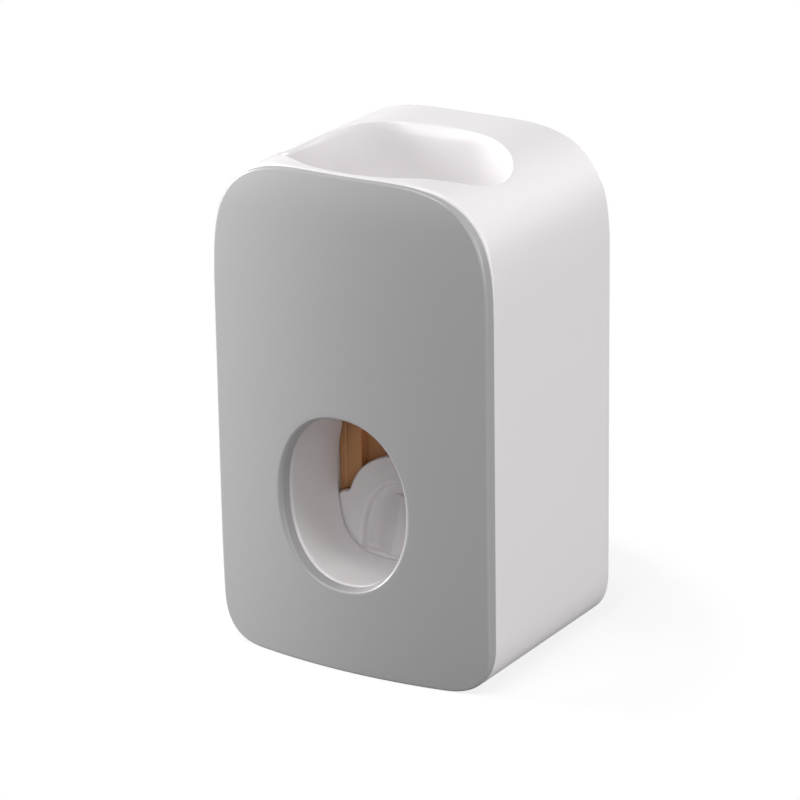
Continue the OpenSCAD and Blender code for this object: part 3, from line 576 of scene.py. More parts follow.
def make_panel():
    """Bulged panel with the opening's rounded lip, as one ring of its section, and its tabs."""
    turns = np.linspace(-np.pi, np.pi, PANEL_SIDES, endpoint=False)
    side = np.cos(turns) ** 2
    centre = np.array((0, OPENING_Z))
    body = Path(body_outline())
    out = body.normal(body.at[:-1])
    outer = Path(refine(body.points[:-1] - TOP_LIP * top_share(out)[:, None] * out, step=0.5))
    half = (OPENING_W / 2 - LIP_NARROW, OPENING_H / 2 - LIP_NARROW)
    opening = Path(refine(power_arc(centre, half, OPENING_FULLNESS, 360, 0, 720)[:-1], step=1))

    def laid(at, depth_of):
        return upright(at, depth_of(at[:, 0], at[:, 1]))

    def ring(path, out, depth_of):
        return laid(rays(path.moved(out), centre, turns), depth_of)

    def between(start, end, steps, depth_of):
        return [laid(start + t * (end - start), depth_of) for t in np.linspace(0, 1, steps + 1)[1:]]

    def lip(out, share):
        """The opening's outline moved out, and further out at its sides, where the lip is rounder."""
        at = rays(opening.moved(out), centre, turns)
        return at + share * LIP_SIDE * np.stack([side * np.cos(turns), 0 * turns], 1)

    def back(x, z):
        return -PANEL_SEAM - bulge(x)

    def edge(x, z):
        return np.minimum(PANEL_ROUND, back(x, z) - panel_face(x, z) - PANEL_RIM)

    rings = [ring(outer, 0, back)]
    for inset, sunk in rounded(1, EDGE_RINGS):
        rings.append(ring(outer, -PANEL_ROUND * inset, lambda x, z: panel_face(x, z) + sunk * edge(x, z)))
    start = rays(outer.moved(-PANEL_ROUND), centre, turns)
    end = lip(LIP_ROUND + LIP_DRAFT, 1)
    rings += between(start, end, FACE_RINGS, panel_face)
    for inset, drop in list(rounded(1, LIP_RINGS))[1:]:
        at = lip(LIP_DRAFT + LIP_ROUND * drop, drop)
        rings.append(upright(at, panel_face(at[:, 0], at[:, 1]) + (LIP_ROUND + LIP_SIDE * side) * inset))
    rings.append(ring(opening, 0, lambda x, z: back(x, z) - LIP_CHAMFER))
    rings.append(ring(opening, LIP_CHAMFER, back))
    rings += between(rings[-1][:, [0, 2]], rings[0][:, [0, 2]], BACK_RINGS, back)
    shell = Shell()
    shell.strip(rings)
    obj = shell.build("front_panel_shell")
    root = back(TAB_X, 0) - TAB_ROOT
    for side, z in itertools.product((-1, 1), TABS_Z):
        low, high = sorted((side * TAB_X, side * (TAB_X + TAB_T)))
        combine(obj, "UNION", block("tab", (low, root, z - TAB_W / 2), (high, TAB_L, z + TAB_W / 2)))
    return smooth(obj)


# Node trees

class Tree:
    """Adds nodes to a tree. What goes into a socket is a number, a colour or another node's output."""

    def __init__(self, tree):
        self.tree = tree

    def node(self, kind, inputs=None, **settings):
        made = self.tree.nodes.new(kind)
        for key, value in settings.items():
            setattr(made, key, value)
        for key, value in (inputs or {}).items():
            self.feed(made.inputs[key], value)
        return made

    def feed(self, socket, value):
        """Sets a socket, or links it. A node stands for its first output."""
        if isinstance(value, bpy.types.Node):
            value = value.outputs[0]
        if isinstance(value, bpy.types.NodeSocket):
            self.tree.links.new(value, socket)
        else:
            socket.default_value = value

    def math(self, operation, a, b=0.0, c=0.0):
        return self.node("ShaderNodeMath", {0: a, 1: b, 2: c}, operation=operation)

    add = partialmethod(math, "ADD")
    subtract = partialmethod(math, "SUBTRACT")
    multiply = partialmethod(math, "MULTIPLY")
    divide = partialmethod(math, "DIVIDE")

    def smooth_step(self, value, start, end):
        limits = {"Value": value, "From Min": start, "From Max": end}
        return self.node("ShaderNodeMapRange", limits, interpolation_type="SMOOTHSTEP")


def group(name, kind, inputs, outputs):
    """New node group with sockets of a kind for each name: (its tree, the inputs given to it)."""
    tree = bpy.data.node_groups.new(name, kind)
    for way, sockets in (("INPUT", inputs), ("OUTPUT", outputs)):
        for label, socket in sockets.items():
            tree.interface.new_socket(label, in_out=way, socket_type=socket)
    return Tree(tree), tree.nodes.new("NodeGroupInput").outputs


FLOAT, COLOR = "NodeSocketFloat", "NodeSocketColor"
KINDS = {float: FLOAT, int: "NodeSocketInt", tuple: "NodeSocketVector", bpy.types.Object: "NodeSocketObject"}
COIL_CLOSE = 2.2


def grown(name, add_nodes, values):
    """A plain mesh made by a group of geometry nodes that takes these values."""
    kinds = {label: KINDS[type(value)] for label, value in values.items()}
    nodes, given = group(name, "GeometryNodeTree", kinds, {"Geometry": "NodeSocketGeometry"})
    real = nodes.node("GeometryNodeRealizeInstances", {"Geometry": add_nodes(nodes, given)})
    nodes.node("NodeGroupOutput", {0: nodes.node("GeometryNodeSetShadeSmooth", {"Geometry": real})})
    obj = link(bpy.data.objects.new(name, bpy.data.meshes.new(name)))
    change = obj.modifiers.new("grow", "NODES")
    change.node_group = nodes.tree
    for item in nodes.tree.interface.items_tree:
        if item.in_out == "INPUT":
            change[item.identifier] = values[item.name]
    return settle(obj)


def swept_trough(nodes, given):
    """Sweeps a profile of points (growth, depth, share of the front's curve) round an upright oval.

    The oval's upper half is taller. Towards the back its section gets fuller, and leans in at the top.
    """
    profile = nodes.node("GeometryNodeObjectInfo", {"Object": given["Profile"]}).outputs["Geometry"]
    size = nodes.node("GeometryNodeAttributeDomainSize", {"Geometry": profile}).outputs["Point Count"]
    columns = nodes.add(given["Steps"], 1)
    grid = nodes.node("GeometryNodeMeshGrid", {"Vertices X": size, "Vertices Y": columns})
    index = nodes.node("GeometryNodeInputIndex")
    row = nodes.math("FLOOR", nodes.divide(nodes.add(index, 0.5), columns))
    column = nodes.subtract(index, nodes.multiply(row, columns))
    place = nodes.node("GeometryNodeInputPosition")
    sample = nodes.node("GeometryNodeSampleIndex", {"Geometry": profile, "Value": place, "Index": row},
                        data_type="FLOAT_VECTOR")
    growth, along, follow = nodes.node("ShaderNodeSeparateXYZ", {0: sample}).outputs
    turned = nodes.smooth_step(along, given["Turn Start"], given["Turn End"])
    change = nodes.subtract(given["Back Fullness"], given["Front Fullness"])
    fullness = nodes.math("MULTIPLY_ADD", change, turned, given["Front Fullness"])
    power = nodes.divide(2.0, fullness)
    angle = nodes.divide(nodes.multiply(column, 2 * math.pi), given["Steps"])
    cosine, sine = nodes.math("COSINE", angle), nodes.math("SINE", angle)
    upper = nodes.math("GREATER_THAN", sine, 0.0)
    low = nodes.math("MULTIPLY_ADD", given["Back Drop"], turned, given["Lower Height"])
    lift = nodes.multiply(upper, nodes.subtract(given["Upper Height"], low))
    found = []
    for wave, reach in ((cosine, given["Half Width"]), (sine, nodes.add(low, lift))):
        bent = nodes.math("POWER", nodes.math("ABSOLUTE", wave), power)
        signed = nodes.multiply(nodes.math("SIGN", wave), bent)
        found.append(nodes.multiply(signed, nodes.add(reach, growth)))
    x, z = found
    rise = nodes.divide(nodes.math("MAXIMUM", z, 0.0), given["Upper Height"])
    lean = nodes.multiply(nodes.multiply(given["Back Lean"], turned), rise)
    x = nodes.multiply(x, nodes.subtract(1.0, lean))
    radius = given["Curve Radius"]
    squares = [nodes.multiply(length, length) for length in (radius, x)]
    chord = nodes.math("SQRT", nodes.subtract(*squares))
    curve = nodes.add(nodes.subtract(chord, radius), given["Curve Rise"])
    depth = nodes.subtract(along, nodes.multiply(follow, curve))
    y = nodes.add(depth, given["Edge Y"])
    z = nodes.add(z, given["Middle Z"])
    target = nodes.node("ShaderNodeCombineXYZ", {0: x, 1: y, 2: z})
    moved = nodes.node("GeometryNodeSetPosition", {"Geometry": grid, "Position": target})
    return nodes.node("GeometryNodeMergeByDistance", {"Geometry": moved, "Distance": WELD})


def wound_coil(nodes, given):
    """Round wire wound along Y, with its end turns lying close."""
    line = nodes.node("GeometryNodeMeshLine", {"Count": nodes.add(given["Steps"], 1)})
    index = nodes.node("GeometryNodeInputIndex")
    turn = nodes.multiply(nodes.divide(index, given["Steps"]), given["Turns"])
    close = nodes.divide(nodes.multiply(given["Wire"], COIL_CLOSE), given["Span"])
    first = nodes.multiply(close, nodes.math("MINIMUM", turn, 1.0))
    late = nodes.subtract(turn, nodes.subtract(given["Turns"], 1.0))
    last = nodes.multiply(close, nodes.math("MAXIMUM", late, 0.0))
    open_turns = nodes.subtract(given["Turns"], 2.0)
    inner = nodes.math("MAXIMUM", nodes.subtract(turn, 1.0), 0.0)
    inner = nodes.math("MINIMUM", inner, open_turns)
    rest = nodes.subtract(1.0, nodes.multiply(close, 2.0))
    middle = nodes.divide(nodes.multiply(inner, rest), open_turns)
    share = nodes.add(nodes.add(first, middle), last)
    y = nodes.multiply(share, given["Span"])
    angle = nodes.multiply(turn, 2 * math.pi)
    x = nodes.multiply(nodes.math("COSINE", angle), given["Radius"])
    z = nodes.multiply(nodes.math("SINE", angle), given["Radius"])
    at = nodes.node("ShaderNodeCombineXYZ", {0: x, 1: y, 2: z})
    target = nodes.node("ShaderNodeVectorMath", {0: at, 1: given["Start"]}, operation="ADD")
    moved = nodes.node("GeometryNodeSetPosition", {"Geometry": line, "Position": target})
    curve = nodes.node("GeometryNodeMeshToCurve", {"Mesh": moved})
    circle = {"Radius": given["Wire"], "Resolution": given["Sides"]}
    ring = nodes.node("GeometryNodeCurvePrimitiveCircle", circle)
    sweep = {"Curve": curve, "Profile Curve": ring, "Fill Caps": True}
    return nodes.node("GeometryNodeCurveToMesh", sweep)


def fastener_set(nodes, given):
    """Sets one fastener at the corners of an upright rectangle."""
    grid = nodes.node("GeometryNodeMeshGrid", {"Size X": given["Across"], "Size Y": given["Up"],
                                               "Vertices X": 2, "Vertices Y": 2})
    stood = nodes.node("GeometryNodeTransform", {"Geometry": grid, "Translation": given["Middle"],
                                                 "Rotation": (math.pi / 2, 0, 0)})
    fastener = nodes.node("GeometryNodeObjectInfo", {"Object": given["Fastener"]}).outputs["Geometry"]
    return nodes.node("GeometryNodeInstanceOnPoints", {"Points": stood, "Instance": fastener})


# Materials

def surface_group():
    """Moulded or rubbed surface: colour and roughness that vary a little, and a fine grain."""
    floats = ("Mottle", "Mottle Size", "Grain Size", "Roughness", "Roughness Change")
    nodes, given = group("surface_detail", "ShaderNodeTree",
                         {"Color": COLOR, "Shade": COLOR, **dict.fromkeys(floats, FLOAT)},
                         {"Color": COLOR, "Roughness": FLOAT, "Height": FLOAT})
    place = nodes.node("ShaderNodeTexCoord").outputs["Object"]
    cloud = nodes.node("ShaderNodeTexNoise", {"Vector": place, "Scale": given["Mottle Size"], "Detail": 3.0})
    fine = nodes.node("ShaderNodeTexNoise", {"Vector": place, "Scale": given["Grain Size"], "Detail": 2.0})
    share = nodes.multiply(cloud.outputs["Fac"], given["Mottle"])
    mix = nodes.node("ShaderNodeMix", {"Factor": share, "A": given["Color"], "B": given["Shade"]},
                     data_type="RGBA")
    swing = nodes.subtract(cloud.outputs["Fac"], 0.5)
    swing = nodes.multiply(swing, given["Roughness Change"])
    rough = nodes.add(given["Roughness"], swing)
    nodes.node("NodeGroupOutput", {"Color": mix.outputs["Result"], "Roughness": rough,
                                   "Height": fine.outputs["Fac"]})
    return nodes.tree


SURFACE = surface_group()
ROUGHNESS_CHANGE = 0.06


def new_material(name):
    """New material: (itself, its nodes, its shader)."""
    material = bpy.data.materials.new(name)
    material.use_nodes = True
    return material, Tree(material.node_tree), material.node_tree.nodes["Principled BSDF"]


def surface_material(name, color, shade, roughness, bump=0.1, bump_depth=0.02, mottle=0.3, mottle_size=60.0,
                     grain_size=1500.0, **constants):
    """Material with the shared surface detail. Constants go on the shader's own sockets."""
    material, nodes, shader = new_material(name)
    values = {"Color": (*color, 1), "Shade": (*shade, 1), "Mottle": mottle, "Mottle Size": mottle_size,
              "Grain Size": grain_size, "Roughness": roughness, "Roughness Change": ROUGHNESS_CHANGE}
    detail = nodes.node("ShaderNodeGroup", values, node_tree=SURFACE)
    relief = nodes.node("ShaderNodeBump", {"Height": detail.outputs["Height"], "Strength": bump,
                                           "Distance": bump_depth * MM})
    links = {"Base Color": detail.outputs["Color"], "Roughness": detail.outputs["Roughness"],
             "Normal": relief}
    for key, value in (links | constants).items():
        nodes.feed(shader.inputs[key.replace("_", " ")], value)
    return material


MOULDED = {"bump": 0.12, "mottle": 0.4, "mottle_size": 45.0}
LOOKS = {
    "white_shell": ("white_moulding", (0.84, 0.815, 0.82), (0.80, 0.772, 0.78), 0.32, MOULDED),
    "grey_panel": ("grey_moulding", (0.40, 0.395, 0.40), (0.375, 0.37, 0.377), 0.3, MOULDED),
    "white_inner": ("inner_moulding", (0.80, 0.79, 0.79), (0.76, 0.75, 0.75), 0.42, {"bump": 0.15}),
    "silicone": ("amber_silicone", (0.72, 0.38, 0.18), (0.60, 0.30, 0.13), 0.38, {
        "Subsurface_Weight": 0.5, "Subsurface_Radius": (1.0, 0.4, 0.15), "Subsurface_Scale": 0.002}),
    "steel": ("plain_steel", (0.60, 0.60, 0.61), (0.5, 0.5, 0.51), 0.3,
              {"bump": 0.2, "grain_size": 3000.0, "Metallic": 1.0}),
    "bush": ("acetal", (0.80, 0.79, 0.74), (0.74, 0.73, 0.68), 0.45, {}),
    "soft_pad": ("soft_rubber", (0.12, 0.12, 0.125), (0.09, 0.09, 0.095), 0.6, {"bump": 0.3}),
    "foam": ("pad_foam", (0.06, 0.06, 0.065), (0.04, 0.04, 0.043), 0.85,
             {"bump": 0.6, "bump_depth": 0.1, "grain_size": 1200.0})}
FINISHES = {slot: surface_material(*look, **more) for slot, (*look, more) in LOOKS.items()}
NODE_SLOTS = {part["node"]: part["material_slot"] for part in frame["record"]["subparts"]}
BODIES = frame["record"]["behaviour"]["bodies"]
NODE_BODIES = {node: body for body, members in BODIES.items() for node in members}


def fit(obj, node):
    """Puts a finished piece in the place of its CAD node, in that node's finish."""
    slot = NODE_SLOTS[node]
    obj.data.materials.clear()
    obj.data.materials.append(FINISHES[slot])
    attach(obj, NODE_BODIES[node])
    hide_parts(node)
    return obj


# Trough behind the opening

GUIDE_BACK_FULLNESS, GUIDE_BACK_DROP, GUIDE_BACK_LEAN = 3.6, 0.8, 0.25
GUIDE_LEDGE, GUIDE_WIDENING, GUIDE_TAPER, GUIDE_RIM, GUIDE_LEAD = 0.4, 0.55, 1.2, 0.9, 0.1
GUIDE_TURN, GUIDE_STEPS = (1.0, 15.0), 240
FOLLOW_INSIDE, FOLLOW_OUTSIDE = 9.0, 8.0
FLANGE_EDGE, FLANGE_ROOT, END_EDGE, END_DEPTH, END_STEP = 0.4, 0.5, 0.3, 0.35, 0.05
LUG_Y, LUG_HALF_H, LUG_GAPS = (14.0, GUIDE_END - 0.2), 4.0, (0.4, 0.1)


def make_guide():
    """Trough with a rounded rim and a flange behind the panel, and a lug on each side for the frame."""
    outer = GUIDE_WALL + GUIDE_FLANGE
    front, back, end = GUIDE_CLEAR, GUIDE_CLEAR + GUIDE_FLANGE_T, GUIDE_END - END_DEPTH
    inner, wide = -GUIDE_MARGIN - GUIDE_LEDGE, GUIDE_WIDENING
    start, run = front + GUIDE_RIM + GUIDE_LEAD, GUIDE_END - GUIDE_TAPER
    points = []
    for y in np.linspace(end, start, 24):
        growth = inner + (wide - inner) * min(1.0, (y - start) / run)
        points.append((growth, y, max(0.0, 1 - (y - start) / FOLLOW_INSIDE)))
    points += [(inner + inset, front + GUIDE_LEAD + drop, 1.0) for inset, drop in rounded(GUIDE_RIM, 7)]
    points += [(outer - FLANGE_EDGE, front, 1.0), (outer, front + FLANGE_EDGE, 1.0), (outer, back, 1.0),
               (GUIDE_WALL + FLANGE_ROOT, back, 1.0), (GUIDE_WALL, back + FLANGE_ROOT, 1.0),
               (GUIDE_WALL, back + FOLLOW_OUTSIDE, 0.0), (GUIDE_WALL, GUIDE_END - END_EDGE, 0.0),
               (GUIDE_WALL - END_EDGE, GUIDE_END, 0.0), (wide + END_EDGE, GUIDE_END, 0.0),
               (wide - END_STEP, end, 0.0)]
    mesh = bpy.data.meshes.new("guide_profile")
    mesh.from_pydata([(growth * MM, y * MM, follow) for growth, y, follow in points], [], [])
    profile = link(bpy.data.objects.new("guide_profile", mesh))
    half_w, half_h = OPENING_W / 2 + GUIDE_MARGIN, OPENING_H / 2 + GUIDE_MARGIN
    obj = grown("brush_guide_trough", swept_trough, {
        "Profile": profile, "Half Width": half_w * MM, "Lower Height": half_h * MM,
        "Upper Height": (half_h + GUIDE_RISE) * MM, "Middle Z": OPENING_Z * MM,
        "Front Fullness": OPENING_FULLNESS, "Back Fullness": GUIDE_BACK_FULLNESS,
        "Back Drop": GUIDE_BACK_DROP * MM, "Back Lean": GUIDE_BACK_LEAN, "Turn Start": GUIDE_TURN[0] * MM,
        "Turn End": GUIDE_TURN[1] * MM, "Steps": GUIDE_STEPS, "Curve Radius": FRONT_R * MM,
        "Curve Rise": FRONT_BULGE * MM, "Edge Y": EDGE_Y * MM})
    bpy.data.objects.remove(profile)
    mend(obj)
    for side in (-1, 1):
        low, high = sorted((side * (half_w + LUG_GAPS[0]), side * (CHEEK_X - LUG_GAPS[1])))
        z0, z1 = OPENING_Z - LUG_HALF_H, OPENING_Z + LUG_HALF_H
        combine(obj, "UNION", block("lug", (low, LUG_Y[0], z0), (high, LUG_Y[1], z1)))
    return smooth(obj)


# Pusher

PUSHER_MIDDLE, PUSHER_SIDES = (0.0, 25.5), 512
FILLET_CUT, FILLET_BEND, PLATE_CORNER, PLATE_FOOT = 0.6, 0.4, 0.25, 1.0
PLATE_EDGE, PLATE_BACK_EDGE, POCKET_MOUTH, POCKET_FILLET = 0.5, 0.3, 0.9, 0.9
STIFFENER_X, SPRING_SEAT_L, PIN_PLAY, FOOT_Z = (3.6, 2.0), 1.2, 0.3, (-1.0, 3.0)
BACK_BEVEL, BARREL_BEVEL, BARREL_SIDES, EDGE_SIDES, CUT_LEAD = 0.4, 0.3, 64, 6, 1.5
RIDGE_LOW, RIDGE_HIGH, RIDGE_H, RIDGE_SINK, RIDGE_LIFT = (9.0, 3.7), (4.4, 1.2), 13.6, 0.3, 1.5


def pusher_outline():
    """Front view of the pusher's plate, run clockwise: a low dome between two shoulders."""
    dome = power_arc((0, SHOULDER_Z - DOME_FILLET), (DOME_HALF, DOME_H + DOME_FILLET), 2, 180, 90, 90)
    above = dome[dome[:, 1] > SHOULDER_Z + DOME_FILLET * FILLET_CUT]
    foot = above[0]
    t = np.linspace(0, 1, 12)[:-1, None]
    start, bend = np.array([(foot[0] - DOME_FILLET, SHOULDER_Z), (foot[0] - FILLET_BEND, SHOULDER_Z)])
    fillet = (1 - t) ** 2 * start + 2 * t * (1 - t) * bend + t**2 * foot
    left = np.vstack([fillet, above])
    right = left[:-1][::-1] * (-1, 1)
    half, low = PUSHER_W / 2, PIVOT_Z + PLATE_FOOT
    foot, turn, end = (0, low), (half, SHOULDER_Z), (half, low)
    corner = np.vstack([rounded_corner(foot, turn, end, PLATE_CORNER),
                        rounded_corner(turn, end, foot, PLATE_FOOT)])
    return np.vstack([left, right, corner, corner[::-1] * (-1, 1)])


def arch_path(grow=0.0):
    """Front view of the pocket, an arch on a straight foot, run clockwise."""
    foot = POCKET_Z - grow
    half = POCKET_W / 2 + grow
    return power_arc((0, foot), (half, POCKET_H + 2 * grow), POCKET_FULLNESS, 180, 0, 160)


def make_pusher():
    """Plate with its pocket and ridge, on the barrel that turns on the pin."""
    turns = np.linspace(-np.pi, np.pi, PUSHER_SIDES, endpoint=False)
    plate = Path(refine(pusher_outline(), step=0.2))
    pocket = Path(refine(arch_path(), step=0.2))

    def solid(name, steps):
        """Solid of steps (path, how far it is moved outwards, depth)."""
        rings = [upright(rays(path.moved(out), PUSHER_MIDDLE, turns), y) for path, out, y in steps]
        ends = [(PUSHER_MIDDLE[0], end[0, 1], PUSHER_MIDDLE[1]) for end in (rings[0], rings[-1])]
        return closed(name, rings, *ends)

    def outer_edge(path, radius, y, way):
        return [(path, way * drop, y + inset) for inset, drop in rounded(radius, EDGE_SIDES)]

    def inner_edge(path, radius, y):
        return [(path, -inset, y - drop) for inset, drop in rounded(radius, EDGE_SIDES)]

    steps = outer_edge(plate, PLATE_EDGE, PUSHER_Y, -1) + inner_edge(plate, PLATE_BACK_EDGE, PUSHER_BACK)[::2]
    obj = solid("pusher_plate", steps)
    behind = prism("pocket_back", arch_path(POCKET_WALL), PUSHER_BACK - 0.3, POCKET_BACK)
    bevel(behind, BACK_BEVEL)
    half = BARREL_L / 2
    barrel = tube("barrel", (-half, PIVOT_Y, PIVOT_Z), (half, PIVOT_Y, PIVOT_Z), BARREL_R, BARREL_SIDES)
    bevel(barrel, BARREL_BEVEL)
    foot = block("foot", (-half, PUSHER_Y, PIVOT_Z + FOOT_Z[0]), (half, PIVOT_Y, PIVOT_Z + FOOT_Z[1]))
    bevel(foot, BACK_BEVEL)
    seat_end = (0, PIVOT_Y + SPRING_SEAT_L, SPRING_Z)
    seat = tube("spring_seat", (0, PIVOT_Y, SPRING_Z), seat_end, SPRING_SEAT_R)
    ribs = []
    for side in (-1, 1):
        low, high = sorted(side * (PUSHER_W / 2 - inset) for inset in STIFFENER_X)
        start, end = (low, PUSHER_BACK - 0.2, PIVOT_Z), (high, POCKET_BACK, SHOULDER_Z - 3)
        ribs.append(block("stiffener", start, end))
    combine(obj, "UNION", behind, barrel, foot, seat, *ribs)
    floor = PUSHER_Y + POCKET_D
    steps = [(pocket, POCKET_MOUTH, PUSHER_Y - CUT_LEAD)] + outer_edge(pocket, POCKET_MOUTH, PUSHER_Y, 1)
    cut = solid("pocket", steps + inner_edge(pocket, POCKET_FILLET, floor))
    reach = BODY_W / 2
    hole = tube("pin_hole", (-reach, PIVOT_Y, PIVOT_Z), (reach, PIVOT_Y, PIVOT_Z), PIN_R + PIN_PLAY)
    bores = []
    for side in (-1, 1):
        ends = [(side * x, PIVOT_Y, PIVOT_Z) for x in (half - BUSH_L, half + 1)]
        bores.append(tube("bush_bore", *ends, BUSH_R, BARREL_SIDES))
    combine(obj, "DIFFERENCE", cut, hole, *bores)
    combine(obj, "UNION", make_ridge(floor))
    return smooth(obj)


def make_ridge(floor):
    """Tapered ridge in the pocket that presses the brush's neck straight."""
    back, crest, z0, z1 = floor + 0.4, PUSHER_Y + RIDGE_SINK, POCKET_Z - 0.2, POCKET_Z + RIDGE_H
    shell = Shell()
    low, high = RIDGE_LOW, RIDGE_HIGH
    top = back - RIDGE_LIFT
    points = shell.add([(-low[0], back, z0), (low[0], back, z0), (low[1], crest, z0), (-low[1], crest, z0),
                        (-high[0], back, z1), (high[0], back, z1), (high[1], top, z1), (-high[1], top, z1)])
    for face in ((0, 1, 2, 3), (4, 7, 6, 5), (0, 3, 7, 4), (1, 5, 6, 2), (3, 2, 6, 7), (0, 4, 5, 1)):
        shell.faces.append(tuple(points + k for k in face))
    return bevel(shell.build("ridge"), 0.35, 4, 20)


# Everything else

SCREW_SIDES, SCREW_PITCH, THREAD_STEPS = 48, 0.8, 6
HEAD_EDGE, HEAD_SIDE, HEAD_ROUND = 0.15, 0.45, 0.9
RECESS_W, RECESS_T, RECESS_D = 1.5, 0.3, 0.7
NECK_R, NECK_Y, THREAD_Y, THREAD_SPARE, THREAD_DEPTH, TIP_R = 0.86, (0.2, -0.3), -0.4, 0.9, 0.1, 0.7


def make_screw(shank):
    """Pan-head screw with a cross recess, its head's underside at the origin and its shank towards -Y."""
    turn = np.linspace(0, 2 * np.pi, SCREW_SIDES, endpoint=False)

    def turned(name, profile):
        rings = []
        for radius, y in profile:
            depth = np.full(SCREW_SIDES, y - EDGE_Y)
            rings.append(np.stack([radius * np.cos(turn), depth, radius * np.sin(turn)], 1))
        return closed(name, rings, *((0, profile[end][1] - EDGE_Y, 0) for end in (0, -1)))

    profile = [(HEAD_R - HEAD_EDGE, 0.0), (HEAD_R, HEAD_EDGE), (HEAD_R, HEAD_H * HEAD_SIDE)]
    for a in np.linspace(0.15, math.pi / 2, 8):
        height = HEAD_SIDE + (1 - HEAD_SIDE) * math.sin(a)
        profile.append((HEAD_R - HEAD_ROUND * (1 - math.cos(a)), HEAD_H * height))
    head = turned("screw", profile)
    low, high = HEAD_H - RECESS_D - EDGE_Y, HEAD_H + 1 - EDGE_Y
    for x, z in ((RECESS_W, RECESS_T), (RECESS_T, RECESS_W)):
        combine(head, "DIFFERENCE", block("slot", (-x, low, -z), (x, high, z)))
    thread = [(SCREW_R, NECK_Y[0]), (SCREW_R * NECK_R, NECK_Y[1])]
    for i in range(int((shank - THREAD_SPARE) / SCREW_PITCH * THREAD_STEPS)):
        y = THREAD_Y - i * SCREW_PITCH / THREAD_STEPS
        phase = 2 * np.pi * (-y / SCREW_PITCH) - turn
        thread.append((SCREW_R * (1 - THREAD_DEPTH + THREAD_DEPTH * np.cos(phase)), y))
    thread.append((SCREW_R * TIP_R, -shank))
    combine(head, "UNION", turned("shaft", thread))
    return smooth(head, 40)


def make_spring():
    """Coil in the box of the frame's spring."""
    low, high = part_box("return_spring")
    wire = SPRING_WIRE * MM
    return grown("return_spring_coil", wound_coil, {
        "Turns": float(SPRING_TURNS), "Radius": SPRING_R * MM, "Wire": wire,
        "Start": ((low.x + high.x) / 2, low.y + wire, (low.z + high.z) / 2),
        "Span": high.y - low.y - 2 * wire, "Steps": 288, "Sides": 12})


BEAD_GAP, BEAD_OUT, BEAD_W, BEAD_D, BEAD_Z = 0.75, 0.25, 1.6, 1.55, (-2.6, 27.5)


def make_bladder():
    """The bladder with a thin bead down each side of its front."""
    obj = softened("bladder", 0.6)
    half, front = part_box("bladder")[1].x / MM, PUSHER_BACK + BEAD_GAP
    for side in (-1, 1):
        x0, x1 = sorted((side * (half + BEAD_OUT), side * (half - BEAD_W)))
        low, high = (x0, front, SHOULDER_Z + BEAD_Z[0]), (x1, front + BEAD_D, SHOULDER_Z + BEAD_Z[1])
        combine(obj, "UNION", bevel(block("bead", low, high), 0.35))
    return smooth(obj)


# Rounding of the edges of the pieces that come from the frame
NODE_EDGES = {
    "back_cover": 0.35, "core_frame": 0.3, "feed_cup": 0.3, "tube_seal": 0.25, "seal_retainer": 0.25,
    "nozzle": 0.3, "pivot_pin": 0.15, "pin_clips": 0.1, "pivot_bushes": 0.15, "press_pad": 0.3,
    "wall_plate": 0.4, "adhesive_pad": 0.2, "valve_seat": 0.15, "inlet_valve": 0.12, "outlet_valve": 0.12}


def build_pieces():
    """Makes every piece and puts it in its place."""
    fit(make_housing(), "housing")
    fit(make_panel(), "front_panel")
    fit(make_guide(), "brush_guide")
    fit(make_pusher(), "pusher")
    bladder = fit(make_bladder(), "bladder")
    spring = fit(make_spring(), "return_spring")
    for soft, keep in ((bladder, 0.44), (spring, 0.62)):
        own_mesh(soft)
    for node, width in NODE_EDGES.items():
        fit(softened(node, width), node)
    sets = (("cover_screws", COVER_SCREW_X, COVER_SCREWS_Z, COVER_BACK, COVER_T),
            ("core_screws", CORE_SCREW_X, CORE_SCREWS_Z, CORE_BACK + CORE_T, CORE_T))
    for node, x, (low, high), depth, held in sets:
        screw = make_screw(held + THREAD_L)
        middle = (0, (depth + EDGE_Y) * MM, (low + high) / 2 * MM)
        obj = grown(node + "_set", fastener_set, {
            "Fastener": screw, "Across": 2 * x * MM, "Up": (high - low) * MM, "Middle": middle})
        bpy.data.objects.remove(screw)
        fit(smooth(obj, 40), node)
    cup = frame["nodes"]["cup_screws"]
    cup.data.materials.clear()
    cup.data.materials.append(FINISHES["steel"])


build_pieces()


# Camera, found from lines measured on the photograph
CAMERA_AT = (0.41117, -0.65631, 0.32818)
CAMERA_TURN, CAMERA_TILT, CAMERA_ROLL = -0.56245, 0.34131, -0.01532
CAMERA_LENS, CAMERA_SENSOR = 173.47, 36.0

# Lamps: name, place, width and power. The floor's fade runs between two distances from the object.
LAMPS = (("key", (-1.11, -0.25, 0.245), 0.5, 18.4), ("front", (0.0, -0.552, 1.007), 0.5, 6.6),
         ("fill", (0.7, -0.88, 0.4), 0.6, 2.3), ("side", (1.08, 0.13, 0.22), 0.6, 6.5),
         ("rear", (0.1, 1.15, 0.16), 0.6, 5.5))
TARGET = (0, 0, 0.055)
AMBIENT = 0.16
FLOOR_NEAR, FLOOR_FAR, FLOOR_GLOW, FLOOR_BOUNCE, FLOOR_REACH = 0.035, 0.075, 0.8, 0.3, 6.0


def make_camera():
    """The photo's camera, from its heading, its tilt and its roll."""
    data = bpy.data.cameras.new("camera")
    data.sensor_width = CAMERA_SENSOR
    data.lens = CAMERA_LENS
    camera = link(bpy.data.objects.new("camera", data))
    turns = ((-CAMERA_TURN, "Z"), (math.pi / 2 - CAMERA_TILT, "X"), (CAMERA_ROLL, "Z"))
    place = Matrix.Translation(CAMERA_AT)
    for angle, axis in turns:
        place = place @ Matrix.Rotation(angle, 4, axis)
    camera.matrix_world = place
    SCENE.camera = camera


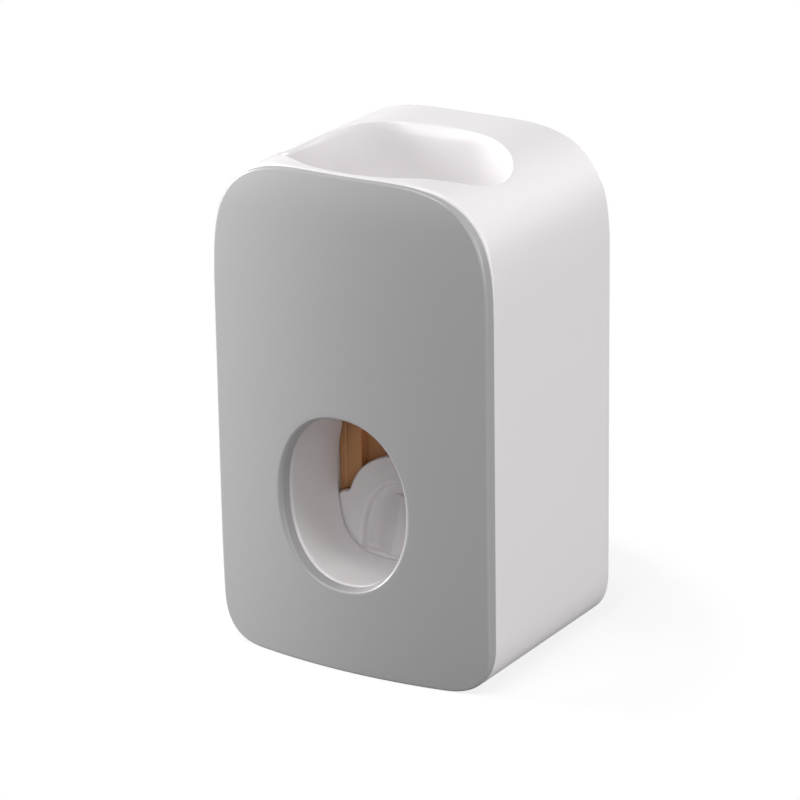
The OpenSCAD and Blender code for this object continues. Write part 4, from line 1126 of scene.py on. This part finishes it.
def make_lamp(name, at, size, power):
    """Soft square lamp that points at the object."""
    data = bpy.data.lights.new(name, "AREA")
    data.shape = "RECTANGLE"
    data.size = data.size_y = size
    data.energy = power
    lamp = link(bpy.data.objects.new(name, data))
    aim = Vector(TARGET) - Vector(at)
    lamp.matrix_world = Matrix.Translation(at) @ aim.to_track_quat("-Z", "Y").to_matrix().to_4x4()


def make_world():
    """White where it is seen, straight or mirrored, and a soft grey light everywhere else."""
    world = bpy.data.worlds.new("studio")
    world.use_nodes = True
    SCENE.world = world
    nodes = Tree(world.node_tree)
    back = world.node_tree.nodes["Background"]
    path = nodes.node("ShaderNodeLightPath").outputs
    seen = nodes.math("MAXIMUM", path["Is Camera Ray"], path["Is Glossy Ray"])
    seen = nodes.math("MAXIMUM", seen, path["Is Transmission Ray"])
    nodes.feed(back.inputs["Color"], (1, 1, 1, 1))
    nodes.feed(back.inputs["Strength"], nodes.add(nodes.multiply(seen, 1.0 - AMBIENT), AMBIENT))


def make_floor():
    """Pale floor that keeps the shadow near the object and turns to plain white further out."""
    mesh = bpy.data.meshes.new("floor")
    corners = [(x * FLOOR_REACH, y * FLOOR_REACH, 0) for x, y in ((-1, -1), (1, -1), (1, 1), (-1, 1))]
    mesh.from_pydata(corners, [], [(0, 1, 2, 3)])
    floor = link(bpy.data.objects.new("floor", mesh))
    material, nodes, shader = new_material("pale_floor")
    shader.inputs["Roughness"].default_value = 0.9
    shader.inputs["Specular IOR Level"].default_value = 0.0
    place = nodes.node("ShaderNodeTexCoord").outputs["Object"]
    away = nodes.node("ShaderNodeVectorMath", {0: place}, operation="LENGTH").outputs["Value"]
    fade = nodes.smooth_step(away, FLOOR_NEAR, FLOOR_FAR)
    seen = nodes.node("ShaderNodeLightPath").outputs["Is Camera Ray"]
    bounce = (FLOOR_BOUNCE, FLOOR_BOUNCE, FLOOR_BOUNCE, 1)
    tone = nodes.node("ShaderNodeMix", {"Factor": seen, "A": bounce, "B": (1, 1, 1, 1)}, data_type="RGBA")
    nodes.feed(shader.inputs["Base Color"], tone.outputs["Result"])
    glow = nodes.node("ShaderNodeEmission")
    share = nodes.multiply(nodes.math("MAXIMUM", fade, FLOOR_GLOW), seen)
    mix = nodes.node("ShaderNodeMixShader", {0: share, 1: shader, 2: glow})
    nodes.feed(material.node_tree.nodes["Material Output"].inputs["Surface"], mix)
    mesh.materials.append(material)


make_camera()
make_world()
make_floor()
for lamp in LAMPS:
    make_lamp(*lamp)

SCENE.view_settings.view_transform = "Standard"
